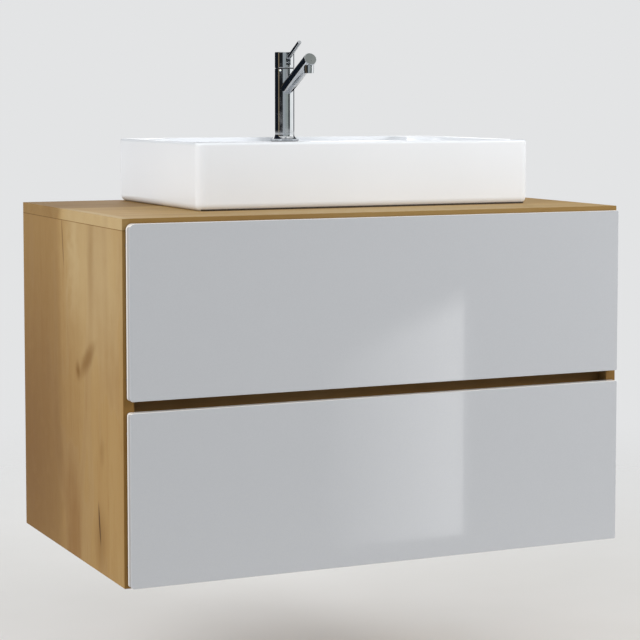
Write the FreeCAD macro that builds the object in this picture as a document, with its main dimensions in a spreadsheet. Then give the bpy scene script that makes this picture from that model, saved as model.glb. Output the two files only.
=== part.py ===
import FreeCAD, Part
import Sketcher
import os

# Wall-hung vanity unit: oak cabinet, two drawers, ceramic basin, single-lever tap.
# Frame: X to the right, Y towards the wall (wall plane Y = 0), Z up, millimetres.
# The origin lies on the wall, midway between the screw holes of the wall plates.

doc = FreeCAD.newDocument("vanity_unit")
sheet = doc.addObject("Spreadsheet::Sheet", "dims")

SIZES = [
    # cabinet
    ("unit_width", 800, "outside width of the cabinet"),
    ("carcass_depth", 480, "wall to front edge of the boards"),
    ("carcass_height", 516, "underside of the sides to worktop surface"),
    ("board", 16, "carcass board thickness"),
    ("worktop_thick", 16, "worktop thickness"),
    ("hanger_drop", 70, "worktop surface above the wall plate screws"),
    ("edge_round", 0.8, "rounding of the visible board edges"),
    ("rail_setback", 22, "grip rail behind the front edges"),
    ("grip_rail_height", 60, "grip rail height"),
    ("rear_rail_height", 80, "rear rail height"),
    ("back_thick", 3, "back panel thickness"),
    # drawer fronts
    ("front_thick", 13, "drawer front thickness"),
    ("front_gap", 1, "bumper between carcass and front"),
    ("side_reveal", 5, "carcass seen beside a front"),
    ("top_reveal", 6.5, "worktop edge seen above the upper front"),
    ("bottom_reveal", 1.5, "carcass seen below the lower front"),
    ("grip_gap", 16, "finger gap between the fronts"),
    ("front_corner_left", 5, "left corner radius of a front"),
    ("front_corner_top", 9, "top left corner radius of the upper front"),
    ("front_corner_right", 2, "right corner radius of a front"),
    ("front_edge", 1.2, "rounding round the front face"),
    ("bumper_radius", 4, "bumper radius"),
    ("bumper_inset", 30, "bumper from the end of its front"),
    # drawer boxes
    ("drawer_board", 12, "drawer side and back thickness"),
    ("side_short", 66, "drawer sides lower than their front"),
    ("rear_space", 81, "drawer boxes before the wall"),
    ("drawer_bottom_thick", 6, "drawer bottom thickness"),
    ("groove_depth", 6, "groove for the drawer bottom"),
    ("bottom_lift", 10, "drawer bottom above the lower edge of the sides"),
    ("upper_box_clear", 6, "upper box above the grip rail"),
    ("lower_box_clear", 12, "lower box above the bottom board"),
    ("recess_width", 150, "clear width of the liner round the trap"),
    ("recess_depth", 205, "clear depth of the liner round the trap"),
    ("recess_wall", 4, "liner wall"),
    ("recess_corner", 30, "liner inner corner radius"),
    # runners
    ("runner_space", 13, "space between cabinet side and drawer side"),
    ("runner_height", 45, "runner height"),
    ("runner_end", 4, "runner short of the rear of the drawer box"),
    ("runner_sheet", 1.5, "runner sheet thickness"),
    ("runner_play", 0.3, "running clearance between members"),
    ("runner_start", 5, "runner behind the front edges"),
    # dowels and screws
    ("dowel_radius", 4, "carcass dowel radius"),
    ("dowel_length", 30, "carcass dowel length"),
    ("dowel_bite", 10, "dowel in the face of the other board"),
    ("small_dowel_radius", 3, "drawer dowel radius"),
    ("small_dowel_length", 26, "drawer dowel length"),
    ("small_dowel_bite", 8, "drawer dowel in the face of the other board"),
    ("screw_radius", 2, "screw shank radius"),
    ("screw_length", 12, "screw in the board"),
    ("screw_head_radius", 3.6, "countersunk head radius"),
    # hangers and wall plates
    ("hanger_width", 16, "hanger housing along X"),
    ("hanger_depth", 46, "hanger housing along Y"),
    ("hanger_height", 44, "hanger housing height"),
    ("hanger_top_gap", 4, "housing below the worktop"),
    ("hook_width", 7, "hook along X"),
    ("hook_thick", 4, "hook thickness"),
    ("plate_width", 60, "wall plate along X"),
    ("plate_height", 70, "wall plate height"),
    ("plate_thick", 2, "wall plate thickness"),
    ("plate_inset", 8, "wall plate from the side board"),
    ("plate_hole_radius", 3.5, "wall screw hole radius"),
    ("plate_hole_pitch", 32, "wall screw holes apart in height"),
    ("lip_gap", 6, "slot behind the lip of the wall plate"),
    ("lip_height", 8, "lip height"),
    # basin
    ("basin_width", 556, "basin along X"),
    ("basin_depth", 356, "basin along Y"),
    ("basin_height", 100, "basin above the worktop"),
    ("basin_x", 35, "basin centre, right of the cabinet centre"),
    ("basin_wall_gap", 7, "basin before the wall"),
    ("basin_wall", 10, "rim width"),
    ("basin_ledge", 66, "tap ledge depth"),
    ("basin_floor", 18, "bowl floor above the worktop"),
    ("basin_corner", 14, "outer corner radius in plan"),
    ("basin_edge", 4, "rounding of the rim"),
    ("basin_foot_edge", 10, "rounding of the foot"),
    ("bowl_taper", 6, "slope of the bowl walls in degrees"),
    ("bowl_corner", 45, "bowl corner radius in plan"),
    ("bowl_floor_round", 24, "rounding of wall into floor"),
    ("bowl_rim_round", 3, "rounding of the inner rim"),
    ("ledge_length", 420, "recess for the tap along X"),
    ("ledge_drop", 6.5, "tap recess below the rim"),
    ("ledge_corner", 12, "rear corner radius of the tap recess"),
    ("ledge_lip", 8, "rounding of the recess into the bowl"),
    ("ledge_edge", 2, "rounding of the recess at the rim"),
    ("deck_thick", 14, "ledge thickness at the tap"),
    ("cavity_wall", 12, "walls round the hollow below the ledge"),
    ("cavity_length", 200, "hollow below the ledge along X"),
    # drain
    ("drain_hole_radius", 23, "hole in the bowl floor"),
    ("worktop_drain_radius", 36, "drain hole in the worktop"),
    ("waste_radius", 21, "waste tube radius"),
    ("waste_wall", 2.5, "waste tube wall"),
    ("waste_length", 70, "waste tube below its flange"),
    ("flange_radius", 31.5, "waste flange radius"),
    ("flange_thick", 3, "waste flange thickness"),
    ("seal_thick", 2, "seal thickness"),
    ("waste_nut_radius", 29, "waste nut radius"),
    ("waste_nut_height", 10, "waste nut height"),
    ("seal_over", 1, "lower seal beyond its nut"),
    ("guide_radius", 8, "guide hub radius"),
    ("guide_height", 12, "guide hub height"),
    ("guide_drop", 18, "guide hub below the flange"),
    ("guide_bar", 4, "guide cross bar width"),
    ("plug_radius", 29, "plug radius"),
    ("plug_thick", 6, "plug thickness"),
    ("plug_stem_radius", 5, "plug stem radius"),
    ("plug_stem_length", 32, "plug stem length"),
    ("running_fit", 0.05, "radial clearance of turning and sliding stems"),
    # trap
    ("trap_tube_radius", 16, "dip tube and outlet pipe radius"),
    ("trap_wall", 2, "trap wall"),
    ("trap_collar", 4.5, "pipe collar beyond the pipe"),
    ("trap_collar_length", 8, "pipe collar length"),
    ("slip_nut_wall", 5, "slip nut wall"),
    ("slip_nut_lip", 4, "slip nut lip"),
    ("slip_nut_grip", 16, "slip nut over the waste"),
    ("head_drop", 34, "trap head below the waste"),
    ("head_neck_height", 14, "trap head neck height"),
    ("head_shoulder", 6, "trap head shoulder height"),
    ("head_radius", 32, "trap head radius"),
    ("head_height", 56, "trap head height below the shoulder"),
    ("head_wall", 3.5, "trap head wall"),
    ("cup_height", 46, "cup below the head"),
    ("cup_grip", 14, "cup over the head"),
    ("cup_step", 4, "cup collar below the head"),
    ("cup_foot", 6, "height of the taper at the cup foot"),
    ("dip_clear", 25, "dip tube end above the cup foot"),
    ("neck_seat", 3, "length of the neck that grips the dip tube"),
    ("neck_play", 0.3, "neck clear of the dip tube below its seat"),
    ("outlet_drop", 18, "outlet below the shoulder"),
    ("outlet_stub_radius", 19, "outlet stub radius"),
    ("outlet_stub_length", 58, "outlet stub from the trap axis"),
    ("outlet_bead", 1.2, "pipe bead in the outlet nut"),
    ("outlet_bead_length", 12, "pipe bead length"),
    ("outlet_collar_play", 0.5, "pipe collar inside the stub radius"),
    ("outlet_wall_gap", 2, "pipe end before the wall"),
    # tap
    ("tap_back", 34.5, "tap axis from the back of the basin"),
    ("tap_hole_radius", 17.5, "tap hole in the ledge"),
    ("supply_hole_radius", 20, "supply hole in the worktop"),
    ("gasket_thick", 1, "base gasket thickness"),
    ("gasket_inset", 1, "gasket inside the edge of the foot"),
    ("foot_radius", 23.5, "flared foot radius"),
    ("foot_thick", 3, "flared foot thickness"),
    ("foot_flare", 7, "flare radius"),
    ("column_radius", 16, "column radius"),
    ("column_height", 119, "column above the ledge"),
    ("column_wall", 2.5, "wall round the cartridge"),
    ("chamber_floor", 70, "chamber floor above the ledge"),
    ("cartridge_floor", 88, "cartridge above the ledge"),
    ("lock_ring_height", 6, "lock ring height"),
    ("lock_ring_hole", 8, "lock ring hole radius"),
    ("stem_radius", 4, "stem radius"),
    ("stem_depth", 16, "stem in the cartridge"),
    ("stem_play", 0.2, "stem end above its seat"),
    ("cap_seam", 1.5, "seam between column and cap"),
    ("cap_height", 26, "cap height"),
    ("cap_edge", 1.0, "cap edge rounding"),
    ("spout_height", 82, "spout axis above the ledge at the column"),
    ("spout_angle", 26.6, "spout rise in degrees"),
    ("spout_length", 116.5, "column axis to spout end"),
    ("spout_radius", 10.5, "spout radius"),
    ("spout_bore", 7.5, "spout bore radius"),
    ("spout_end_wall", 7, "closed end of the spout"),
    ("spout_edge", 0.8, "spout edge rounding"),
    ("nozzle_reach", 98, "nozzle from the column axis"),
    ("nozzle_radius", 8, "nozzle radius"),
    ("nozzle_bore", 6, "nozzle bore radius"),
    ("nozzle_drop", 16, "nozzle below the spout axis"),
    ("aerator_radius", 7.6, "aerator radius"),
    ("aerator_height", 4, "aerator height"),
    ("aerator_recess", 1.2, "aerator recess"),
    ("lever_angle", 29, "lever rise in degrees"),
    ("lever_radius", 3.3, "lever radius"),
    ("lever_length", 64, "pivot to lever end"),
    ("lever_eye", 5, "lever eye radius"),
    ("lever_cheek", 0.5, "lever eye wider than the lever, each side"),
    ("lever_edge", 0.8, "lever edge rounding"),
    ("pivot_forward", 5.5, "lever pivot before the tap axis"),
    ("pivot_level", 130.8, "lever pivot above the ledge"),
    ("slot_play", 0.3, "lever play in the slot, each side"),
    ("slot_rear", 2, "slot behind the tap axis"),
    ("pin_radius", 1.5, "cross pin radius"),
    ("pin_length", 26, "cross pin length"),
    ("inlet_radius", 5, "supply inlet radius"),
    ("inlet_depth", 12, "supply inlet depth"),
    ("inlet_apart", 7, "supply inlet from the tap axis along X"),
    ("inlet_forward", 3, "supply inlet before the tap axis"),
    ("stud_radius", 4, "fixing stud radius"),
    ("stud_back", 9, "fixing stud behind the tap axis"),
    ("stud_below", 46, "fixing stud below the ledge surface"),
    ("washer_thick", 3, "horseshoe washer thickness"),
    ("washer_width", 46, "horseshoe washer along X"),
    ("washer_arm", 10, "horseshoe washer arm width"),
    ("washer_front", 17, "horseshoe washer before the tap axis"),
    ("washer_rear", 14, "horseshoe washer behind the tap axis"),
    ("washer_bridge", 9.5, "horseshoe washer bridge depth"),
    ("nut_corner", 7.5, "fixing nut corner radius"),
    ("nut_height", 6.5, "fixing nut height"),
]
for row, (alias, size, note) in enumerate(SIZES, start=1):
    sheet.set(f"A{row}", note)
    sheet.set(f"B{row}", str(size))
    sheet.setAlias(f"B{row}", alias)
doc.recompute()

# Levels and planes that several pieces share, as expressions on the sheet.
TOP = "dims.hanger_drop"
UNDER = f"({TOP} - dims.worktop_thick)"
FLOOR = f"({TOP} - dims.carcass_height)"
FRONT = "(-dims.carcass_depth)"
HALF = "(dims.unit_width / 2)"
INSIDE = f"({HALF} - dims.board)"
FRONT_HEIGHT = ("((dims.carcass_height - dims.top_reveal - dims.bottom_reveal"
                " - dims.grip_gap) / 2)")
LOWER_FRONT = f"({FLOOR} + dims.bottom_reveal)"
UPPER_FRONT = f"({LOWER_FRONT} + {FRONT_HEIGHT} + dims.grip_gap)"
GRIP = f"({UPPER_FRONT} - dims.grip_gap / 2)"
FRONT_BACK = f"({FRONT} - dims.front_gap)"
BOX_HALF = f"({INSIDE} - dims.runner_space)"
BOX_REAR = "(-dims.rear_space)"
BOX_LENGTH = f"({BOX_REAR} - {FRONT_BACK})"
BOX_HEIGHT = f"({FRONT_HEIGHT} - dims.side_short)"
UPPER_BOX = f"({GRIP} + dims.grip_rail_height / 2 + dims.upper_box_clear)"
LOWER_BOX = f"({FLOOR} + dims.board + dims.lower_box_clear)"
BASIN_BACK = "(-dims.basin_wall_gap)"
BASIN_FRONT = f"({BASIN_BACK} - dims.basin_depth)"
DECK = f"({TOP} + dims.basin_height - dims.ledge_drop)"
DRAIN_Y = (f"({BASIN_FRONT} + dims.basin_wall + (dims.basin_depth - dims.basin_wall"
           " - dims.basin_ledge) / 2)")
WASTE = f"({TOP} + dims.basin_floor + dims.seal_thick)"
WASTE_END = f"({WASTE} - dims.waste_length)"
TAP_Y = f"({BASIN_BACK} - dims.tap_back)"

TURN = {
    "Z": FreeCAD.Rotation(),
    "X": FreeCAD.Rotation(FreeCAD.Vector(0, 1, 0), 90),
    "Y": FreeCAD.Rotation(FreeCAD.Vector(1, 0, 0), -90),
}
SIDES = (("left", -1), ("right", 1))
pieces = []


def bind(obj, **sizes):
    for name, text in sizes.items():
        obj.setExpression(name, text)


def move(obj, x, y, z):
    for axis, text in zip("xyz", (x, y, z)):
        obj.setExpression(f"Placement.Base.{axis}", text)


def low_x(side, inner, width):
    """Low X of a piece that starts at distance inner from the centre plane."""
    return inner if side > 0 else f"-({inner}) - ({width})"


def block(name, x, y, z, along_x, along_y, along_z):
    obj = doc.addObject("Part::Box", name)
    bind(obj, Length=along_x, Width=along_y, Height=along_z)
    move(obj, x, y, z)
    return obj


def rod(name, x, y, z, radius, length, axis="Z"):
    obj = doc.addObject("Part::Cylinder", name)
    obj.Placement = FreeCAD.Placement(FreeCAD.Vector(), TURN[axis])
    bind(obj, Radius=radius, Height=length)
    move(obj, x, y, z)
    return obj


def tilted(obj, rise, x, y, z):
    """Turns a piece that points up so that it points forward with a rise."""
    turn = FreeCAD.Rotation(FreeCAD.Vector(1, 0, 0), 45)
    obj.Placement = FreeCAD.Placement(FreeCAD.Vector(), turn)
    obj.setExpression("Placement.Rotation.Angle", f"90 - {rise}")
    move(obj, x, y, z)


def joined(name, items):
    obj = doc.addObject("Part::MultiFuse", name)
    obj.Shapes = items
    return obj


def grouped(name, items):
    obj = doc.addObject("Part::Compound", name)
    obj.Links = items
    return obj


def cut(name, base, tools):
    obj = doc.addObject("Part::Cut", name)
    obj.Base = base
    obj.Tool = tools[0] if len(tools) == 1 else grouped(name + "_tools", tools)
    return obj


def piece(obj, label):
    obj.Label = label
    pieces.append(obj)
    return obj


def outline(body, role, points, level=None):
    """Closed sketch of straight lines whose corners follow the sheet."""
    plane = [f for f in body.Origin.OriginFeatures if f.Role == role][0]
    sketch = body.newObject("Sketcher::SketchObject", body.Name + "_sketch")
    sketch.AttachmentSupport = [(plane, "")]
    sketch.MapMode = "FlatFace"
    if level:
        sketch.setExpression("AttachmentOffset.Base.z", level)
    spots = [tuple(float(sketch.evalExpression(text)) for text in point) for point in points]
    count = len(spots)
    for i in range(count):
        start = FreeCAD.Vector(*spots[i], 0)
        end = FreeCAD.Vector(*spots[(i + 1) % count], 0)
        sketch.addGeometry(Part.LineSegment(start, end), False)
    for i in range(count):
        sketch.addConstraint(Sketcher.Constraint("Coincident", i, 2, (i + 1) % count, 1))
    for i in range(count):
        for k, kind in enumerate(("DistanceX", "DistanceY")):
            index = sketch.addConstraint(Sketcher.Constraint(kind, -1, 1, i, 1, spots[i][k]))
            sketch.setExpression(f"Constraints[{index}]", points[i][k])
    return sketch


def rectangle(x0, y0, x1, y1):
    return [(x0, y0), (x1, y0), (x1, y1), (x0, y1)]


def rounded(body, radius, wanted, kind="PartDesign::Fillet", size="Radius"):
    """Rounds the edges of the body's last feature whose ends satisfy wanted(box, centre)."""
    doc.recompute()
    base = body.Tip
    names = []
    for i, edge in enumerate(base.Shape.Edges, start=1):
        if wanted(edge.BoundBox, edge.CenterOfMass):
            names.append(f"Edge{i}")
    feature = body.newObject(kind, body.Name + "_round")
    feature.Base = (base, names)
    feature.setExpression(size, radius)
    return feature


def near(value, target):
    return abs(value - target) < 0.01


def number(text):
    return float(sheet.evalExpression(text.replace("dims.", "")))


def padded(name, points, height, role="XY_Plane", level=None):
    body = doc.addObject("PartDesign::Body", name)
    pad = body.newObject("PartDesign::Pad", name + "_pad")
    pad.Profile = outline(body, role, points, level)
    pad.setExpression("Length", height)
    doc.recompute()
    return body


def pocketed(body, points, depth, level, upward=False, kind="PartDesign::Pocket"):
    pocket = body.newObject(kind, body.Name + "_pocket")
    pocket.Profile = outline(body, "XY_Plane", points, level)
    pocket.setExpression("Length", depth)
    pocket.Reversed = upward
    doc.recompute()
    return pocket


def turned(name, points, x, y, z, axis="Z"):
    """Round piece from a profile of (radius, height) corners."""
    body = doc.addObject("PartDesign::Body", name)
    revolved = body.newObject("PartDesign::Revolution", name + "_turn")
    sketch = outline(body, "XZ_Plane", points)
    revolved.Profile = sketch
    revolved.ReferenceAxis = (sketch, ["V_Axis"])
    revolved.Angle = 360
    body.Placement = FreeCAD.Placement(FreeCAD.Vector(), TURN[axis])
    move(body, x, y, z)
    doc.recompute()
    return body


def ring(name, inner, outer, height, x, y, z):
    points = [(inner, "0"), (outer, "0"), (outer, height), (inner, height)]
    return turned(name, points, x, y, z)


def screw(name, x, y, z, side):
    """Countersunk screw along X, its head flush at x, going to the side given by its sign."""
    head = doc.addObject("Part::Cone", name + "_head")
    shank_x = f"{x} + ({side}) * dims.runner_sheet"
    angle = 90 if side > 0 else -90
    turn = FreeCAD.Rotation(FreeCAD.Vector(0, 1, 0), angle)
    head.Placement = FreeCAD.Placement(FreeCAD.Vector(), turn)
    bind(head, Radius1="dims.screw_head_radius", Radius2="dims.screw_radius",
         Height="dims.runner_sheet")
    move(head, x, y, z)
    shank = doc.addObject("Part::Cylinder", name + "_shank")
    shank.Placement = FreeCAD.Placement(FreeCAD.Vector(), turn)
    bind(shank, Radius="dims.screw_radius", Height="dims.screw_length")
    move(shank, shank_x, y, z)
    return joined(name, [head, shank])


# Carcass dowels: worktop on the sides, then bottom board and rails between the sides.
carcass_dowels = []
DOWEL_ROWS = [f"({FRONT} * {share})" for share in ("0.12", "0.5", "0.88")]
RAIL_MIDDLES = {
    "grip": (f"({FRONT} + dims.rail_setback + dims.board / 2)", GRIP, "dims.grip_rail_height"),
    "mid": ("(-dims.board / 2)", GRIP, "dims.rear_rail_height"),
    "low": ("(-dims.board / 2)", f"({FLOOR} + dims.board + dims.rear_rail_height / 2)",
            "dims.rear_rail_height"),
}
for hand, side in SIDES:
    for row, y in enumerate(DOWEL_ROWS):
        carcass_dowels.append(rod(
            f"top_dowel_{hand}_{row}", f"({side}) * ({HALF} - dims.board / 2)", y,
            f"{UNDER} + dims.dowel_bite - dims.dowel_length", "dims.dowel_radius", "dims.dowel_length"))
    start = low_x(side, f"{INSIDE} + dims.dowel_bite - dims.dowel_length", "dims.dowel_length")
    spots = [(y, f"{FLOOR} + dims.board / 2") for y in DOWEL_ROWS]
    for y, z, height in RAIL_MIDDLES.values():
        spots += [(y, f"{z} - {height} / 4"), (y, f"{z} + {height} / 4")]
    for row, (y, z) in enumerate(spots):
        carcass_dowels.append(rod(f"end_dowel_{hand}_{row}", start, y, z, "dims.dowel_radius",
                                  "dims.dowel_length", "X"))
dowels = piece(grouped("carcass_dowels", carcass_dowels), "carcass_dowels")

# Runners: fixed channel on the cabinet side, middle channel in it, drawer channel in that one.
runner_screws = []
RUNNER_Y = f"({FRONT} + dims.runner_start)"
RUNNER_LENGTH = f"({BOX_REAR} - dims.runner_end - {RUNNER_Y})"
MID_HEIGHT = "(dims.runner_height - 2 * dims.runner_sheet - 2 * dims.runner_play)"
DRAWER_HEIGHT = f"({MID_HEIGHT} - 2 * dims.runner_sheet - 2 * dims.runner_play)"
MEMBERS = {
    # distance of the web from the cabinet side, how far the flanges reach, height, web outwards
    "fixed": ("0", "(dims.runner_space * 0.75)", "dims.runner_height", True),
    "mid": ("(dims.runner_sheet + dims.runner_play)",
            "(dims.runner_space - 2 * dims.runner_sheet - 2 * dims.runner_play)", MID_HEIGHT, True),
    "drawer": ("(2 * dims.runner_sheet + 2 * dims.runner_play)",
               "(dims.runner_space - 2 * dims.runner_sheet - 2 * dims.runner_play)",
               DRAWER_HEIGHT, False),
}
for drawer, box in (("upper", UPPER_BOX), ("lower", LOWER_BOX)):
    middle = f"({box} + {BOX_HEIGHT} / 2)"
    for member, (start, reach, height, web_outside) in MEMBERS.items():
        channels = []
        for hand, side in SIDES:
            name = f"{drawer}_{member}_{hand}"
            near_x = f"({INSIDE} - {start} - {reach})"
            solid = block(name + "_bar", low_x(side, near_x, reach), RUNNER_Y,
                          f"{middle} - {height} / 2", reach, RUNNER_LENGTH, height)
            hollow = f"({reach} - dims.runner_sheet)"
            hollow_x = near_x if web_outside else f"({near_x} + dims.runner_sheet)"
            inner_height = f"({height} - 2 * dims.runner_sheet)"
            space = block(name + "_space", low_x(side, hollow_x, hollow), RUNNER_Y,
                          f"{middle} - {inner_height} / 2", hollow, RUNNER_LENGTH, inner_height)
            channel = cut(name, solid, [space])
            if member == "fixed":
                holes = []
                for row, share in enumerate(("0.1", "0.85")):
                    holes.append(screw(
                        f"{name}_screw_{row}", f"({side}) * ({INSIDE} - dims.runner_sheet)",
                        f"{RUNNER_Y} + {RUNNER_LENGTH} * {share}", middle, side))
                runner_screws += holes
                channel = cut(name + "_drilled", channel, holes)
            channels.append(channel)
        piece(grouped(f"{drawer}_runner_{member}", channels), f"{drawer}_runner_{member}")
screws = piece(grouped("runner_screws", runner_screws), "runner_screws")

# Cabinet hangers in the upper rear corners, hooked over the lips of the wall plates.
for hand, side in SIDES:
    housing_x = f"({INSIDE} - dims.hanger_width)"
    housing_top = f"({UNDER} - dims.hanger_top_gap)"
    lip_front = "(dims.plate_thick + dims.lip_gap + dims.plate_thick)"
    hook_rear = "(dims.plate_thick + (dims.lip_gap - dims.hook_thick) / 2)"
    housing_rear = f"({lip_front} + dims.plate_thick * 2)"
    housing = block(f"housing_{hand}", low_x(side, housing_x, "dims.hanger_width"),
                    f"-{housing_rear} - dims.hanger_depth", f"{housing_top} - dims.hanger_height",
                    "dims.hanger_width", "dims.hanger_depth", "dims.hanger_height")
    arm = block(f"hook_arm_{hand}", low_x(side, housing_x, "dims.hook_width"),
                f"-{housing_rear}", f"{housing_top} - dims.hook_thick",
                "dims.hook_width", f"{housing_rear} - {hook_rear}", "dims.hook_thick")
    tongue = block(f"hook_tongue_{hand}", low_x(side, housing_x, "dims.hook_width"),
                   f"-{hook_rear} - dims.hook_thick", "dims.plate_height / 2",
                   "dims.hook_width", "dims.hook_thick", f"{housing_top} - dims.plate_height / 2")
    piece(joined(f"hanger_{hand}", [housing, arm, tongue]), f"hanger_{hand}")

    plate_x = low_x(side, f"({INSIDE} - dims.plate_inset - dims.plate_width)", "dims.plate_width")
    plate = block(f"plate_{hand}", plate_x, "-dims.plate_thick", "-dims.plate_height / 2",
                  "dims.plate_width", "dims.plate_thick", "dims.plate_height")
    shelf_z = "dims.plate_height / 2 - dims.plate_thick"
    shelf = block(f"lip_shelf_{hand}", plate_x, f"-{lip_front}", shelf_z,
                  "dims.plate_width", lip_front, "dims.plate_thick")
    lip = block(f"lip_{hand}", plate_x, f"-{lip_front}", shelf_z,
                "dims.plate_width", "dims.plate_thick", "dims.plate_thick + dims.lip_height")
    holes = []
    for row, level in enumerate(("-1", "1")):
        holes.append(rod(f"plate_hole_{hand}_{row}",
                         f"({side}) * ({INSIDE} - dims.plate_inset - dims.plate_width / 2)",
                         "-2 * dims.plate_thick", f"{level} * dims.plate_hole_pitch / 2",
                         "dims.plate_hole_radius", "4 * dims.plate_thick", "Y"))
    piece(cut(f"wall_plate_{hand}", joined(f"plate_bent_{hand}", [plate, shelf, lip]), holes),
          f"wall_plate_{hand}")

# Worktop: lies over both sides, drilled for the drain and the tap supply.
worktop = padded("worktop_board", rectangle(f"-{HALF}", FRONT, HALF, "0"), "dims.worktop_thick")
move(worktop, "0", "0", UNDER)
rounded(worktop, "dims.edge_round",
        lambda box, mid: near(mid.z, number("dims.worktop_thick")) or near(mid.y, number(FRONT))
        and box.ZLength > 1)
drain_way = rod("drain_way", "dims.basin_x", DRAIN_Y, UNDER, "dims.worktop_drain_radius",
                "dims.worktop_thick")
supply_way = rod("supply_way", "dims.basin_x", TAP_Y, UNDER, "dims.supply_hole_radius",
                 "dims.worktop_thick")
piece(cut("worktop", worktop, [dowels, drain_way, supply_way]), "worktop")

# Sides, bottom board and rails.
SIDE_HEIGHT = "(dims.carcass_height - dims.worktop_thick)"
for hand, side in SIDES:
    body = padded(f"side_board_{hand}", rectangle("0", FRONT, "dims.board", "0"), SIDE_HEIGHT)
    move(body, low_x(side, INSIDE, "dims.board"), "0", FLOOR)
    outer = number("dims.board") if side > 0 else 0.0
    rounded(body, "dims.edge_round",
            lambda box, mid: near(mid.z, 0) and near(mid.x, outer)
            or near(mid.y, number(FRONT)) and box.ZLength > 1)
    piece(cut(f"side_{hand}", body, [dowels, screws]), f"side_{hand}")
WIDTH_INSIDE = f"(2 * {INSIDE})"
bottom = block("bottom_board", f"-{INSIDE}", FRONT, FLOOR, WIDTH_INSIDE, "dims.carcass_depth",
               "dims.board")
piece(cut("bottom_panel", bottom, [dowels]), "bottom_panel")
for label, key in (("grip_rail", "grip"), ("rear_mid_rail", "mid"), ("rear_bottom_rail", "low")):
    y, z, height = RAIL_MIDDLES[key]
    rail = block(label + "_board", f"-{INSIDE}", f"{y} - dims.board / 2", f"{z} - {height} / 2",
                 WIDTH_INSIDE, "dims.board", height)
    piece(cut(label, rail, [dowels]), label)
back_top = f"({GRIP} + dims.rear_rail_height / 2)"
piece(block("back_panel", f"-{INSIDE}", "-dims.board - dims.back_thick", f"{FLOOR} + dims.board",
            WIDTH_INSIDE, "dims.back_thick", f"{back_top} - {FLOOR} - dims.board"), "back_panel")
bumpers = []
for hand, side in SIDES:
    bumper_x = f"({side}) * ({HALF} - dims.board / 2)"
    for drawer, level in (("upper", UPPER_FRONT), ("lower", LOWER_FRONT)):
        for row, offset in enumerate(("dims.bumper_inset", f"({FRONT_HEIGHT} - dims.bumper_inset)")):
            bumpers.append(rod(f"bumper_{hand}_{drawer}_{row}", bumper_x, FRONT_BACK,
                               f"{level} + {offset}", "dims.bumper_radius", "dims.front_gap", "Y"))
piece(grouped("bumpers", bumpers), "bumpers")

# Basin: straight-sided ceramic block with a tapered bowl, a tap ledge and a hollow below it.
basin_half = "dims.basin_width / 2"
basin = padded("basin_body", rectangle(f"-{basin_half}", "0", basin_half, "dims.basin_depth"),
               "dims.basin_height")
move(basin, "dims.basin_x", BASIN_FRONT, TOP)
rounded(basin, "dims.basin_corner", lambda box, mid: box.ZLength > 1)
rounded(basin, "dims.basin_foot_edge", lambda box, mid: near(mid.z, 0))
rounded(basin, "dims.basin_edge", lambda box, mid: near(mid.z, number("dims.basin_height")))
BOWL_DEPTH = "(dims.basin_height - dims.basin_floor)"
bowl_half = f"({basin_half} - dims.basin_wall)"
bowl_back = "dims.basin_depth - dims.basin_ledge"
bowl = pocketed(basin, rectangle(f"-{bowl_half}", "dims.basin_wall", bowl_half, bowl_back), BOWL_DEPTH,
                "dims.basin_height")
bowl.setExpression("TaperAngle", "-dims.bowl_taper")
doc.recompute()
rounded(basin, "dims.bowl_corner",
        lambda box, mid: box.ZLength > 10 and box.ZMin > 1
        and near(box.ZMax, number("dims.basin_height")))
rounded(basin, "dims.bowl_floor_round", lambda box, mid: near(box.ZMin, number("dims.basin_floor"))
        and near(box.ZMax, number("dims.basin_floor")))
rim_x = number(bowl_half) + number("dims.basin_edge")
rim_y = number("dims.basin_edge") * 2
rounded(basin, "dims.bowl_rim_round",
        lambda box, mid: near(box.ZMin, number("dims.basin_height")) and abs(mid.x) < rim_x
        and rim_y < mid.y < number(bowl_back) + rim_y)
pocketed(basin, rectangle("-dims.cavity_length / 2", f"{bowl_back} + dims.cavity_wall",
                          "dims.cavity_length / 2", "dims.basin_depth - dims.cavity_wall"),
         "(dims.basin_height - dims.ledge_drop - dims.deck_thick)", "0", upward=True)

# The tap recess is cut by a form that runs out into the bowl and is rounded at the rim.
DECK_LEVEL = "(dims.basin_height - dims.ledge_drop)"
LIP_LEVEL = f"({DECK_LEVEL} - 2 * dims.ledge_lip)"
slope = "tan(dims.bowl_taper)"
recess_rear = "(dims.basin_depth - dims.basin_wall)"
recess = padded("ledge_recess", [
    (f"{bowl_back} - dims.ledge_drop * {slope}", DECK_LEVEL), (recess_rear, DECK_LEVEL),
    (recess_rear, "dims.basin_height"), ("dims.basin_depth / 2", "dims.basin_height"),
    ("dims.basin_depth / 2", LIP_LEVEL),
    (f"{bowl_back} - (dims.ledge_drop + 2 * dims.ledge_lip) * {slope}", LIP_LEVEL)],
    "dims.ledge_length", "YZ_Plane")
move(recess, "dims.basin_x - dims.ledge_length / 2", BASIN_FRONT, TOP)
rounded(recess, "dims.ledge_corner",
        lambda box, mid: near(mid.y, number(recess_rear)) and box.ZLength > 1)
rounded(recess, "dims.ledge_lip",
        lambda box, mid: near(box.ZMin, number(DECK_LEVEL)) and mid.y < number(bowl_back)
        and box.XLength > 1)
flare = "(2 * dims.ledge_edge)"
pocketed(recess, rectangle(f"-{flare}", "dims.basin_depth / 2", f"dims.ledge_length + {flare}",
                           f"{recess_rear} + {flare}"),
         "dims.basin_wall", "dims.basin_height", kind="PartDesign::Pad")
rim_level = number("dims.basin_height")
half_length = number("dims.ledge_length") / 2
rounded(recess, "dims.ledge_edge",
        lambda box, mid: near(box.ZMin, rim_level) and near(box.ZMax, rim_level)
        and abs(mid.x - half_length) < half_length + 0.01
        and number("dims.basin_depth") / 2 < mid.y - 0.01 < number(recess_rear))
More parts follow.
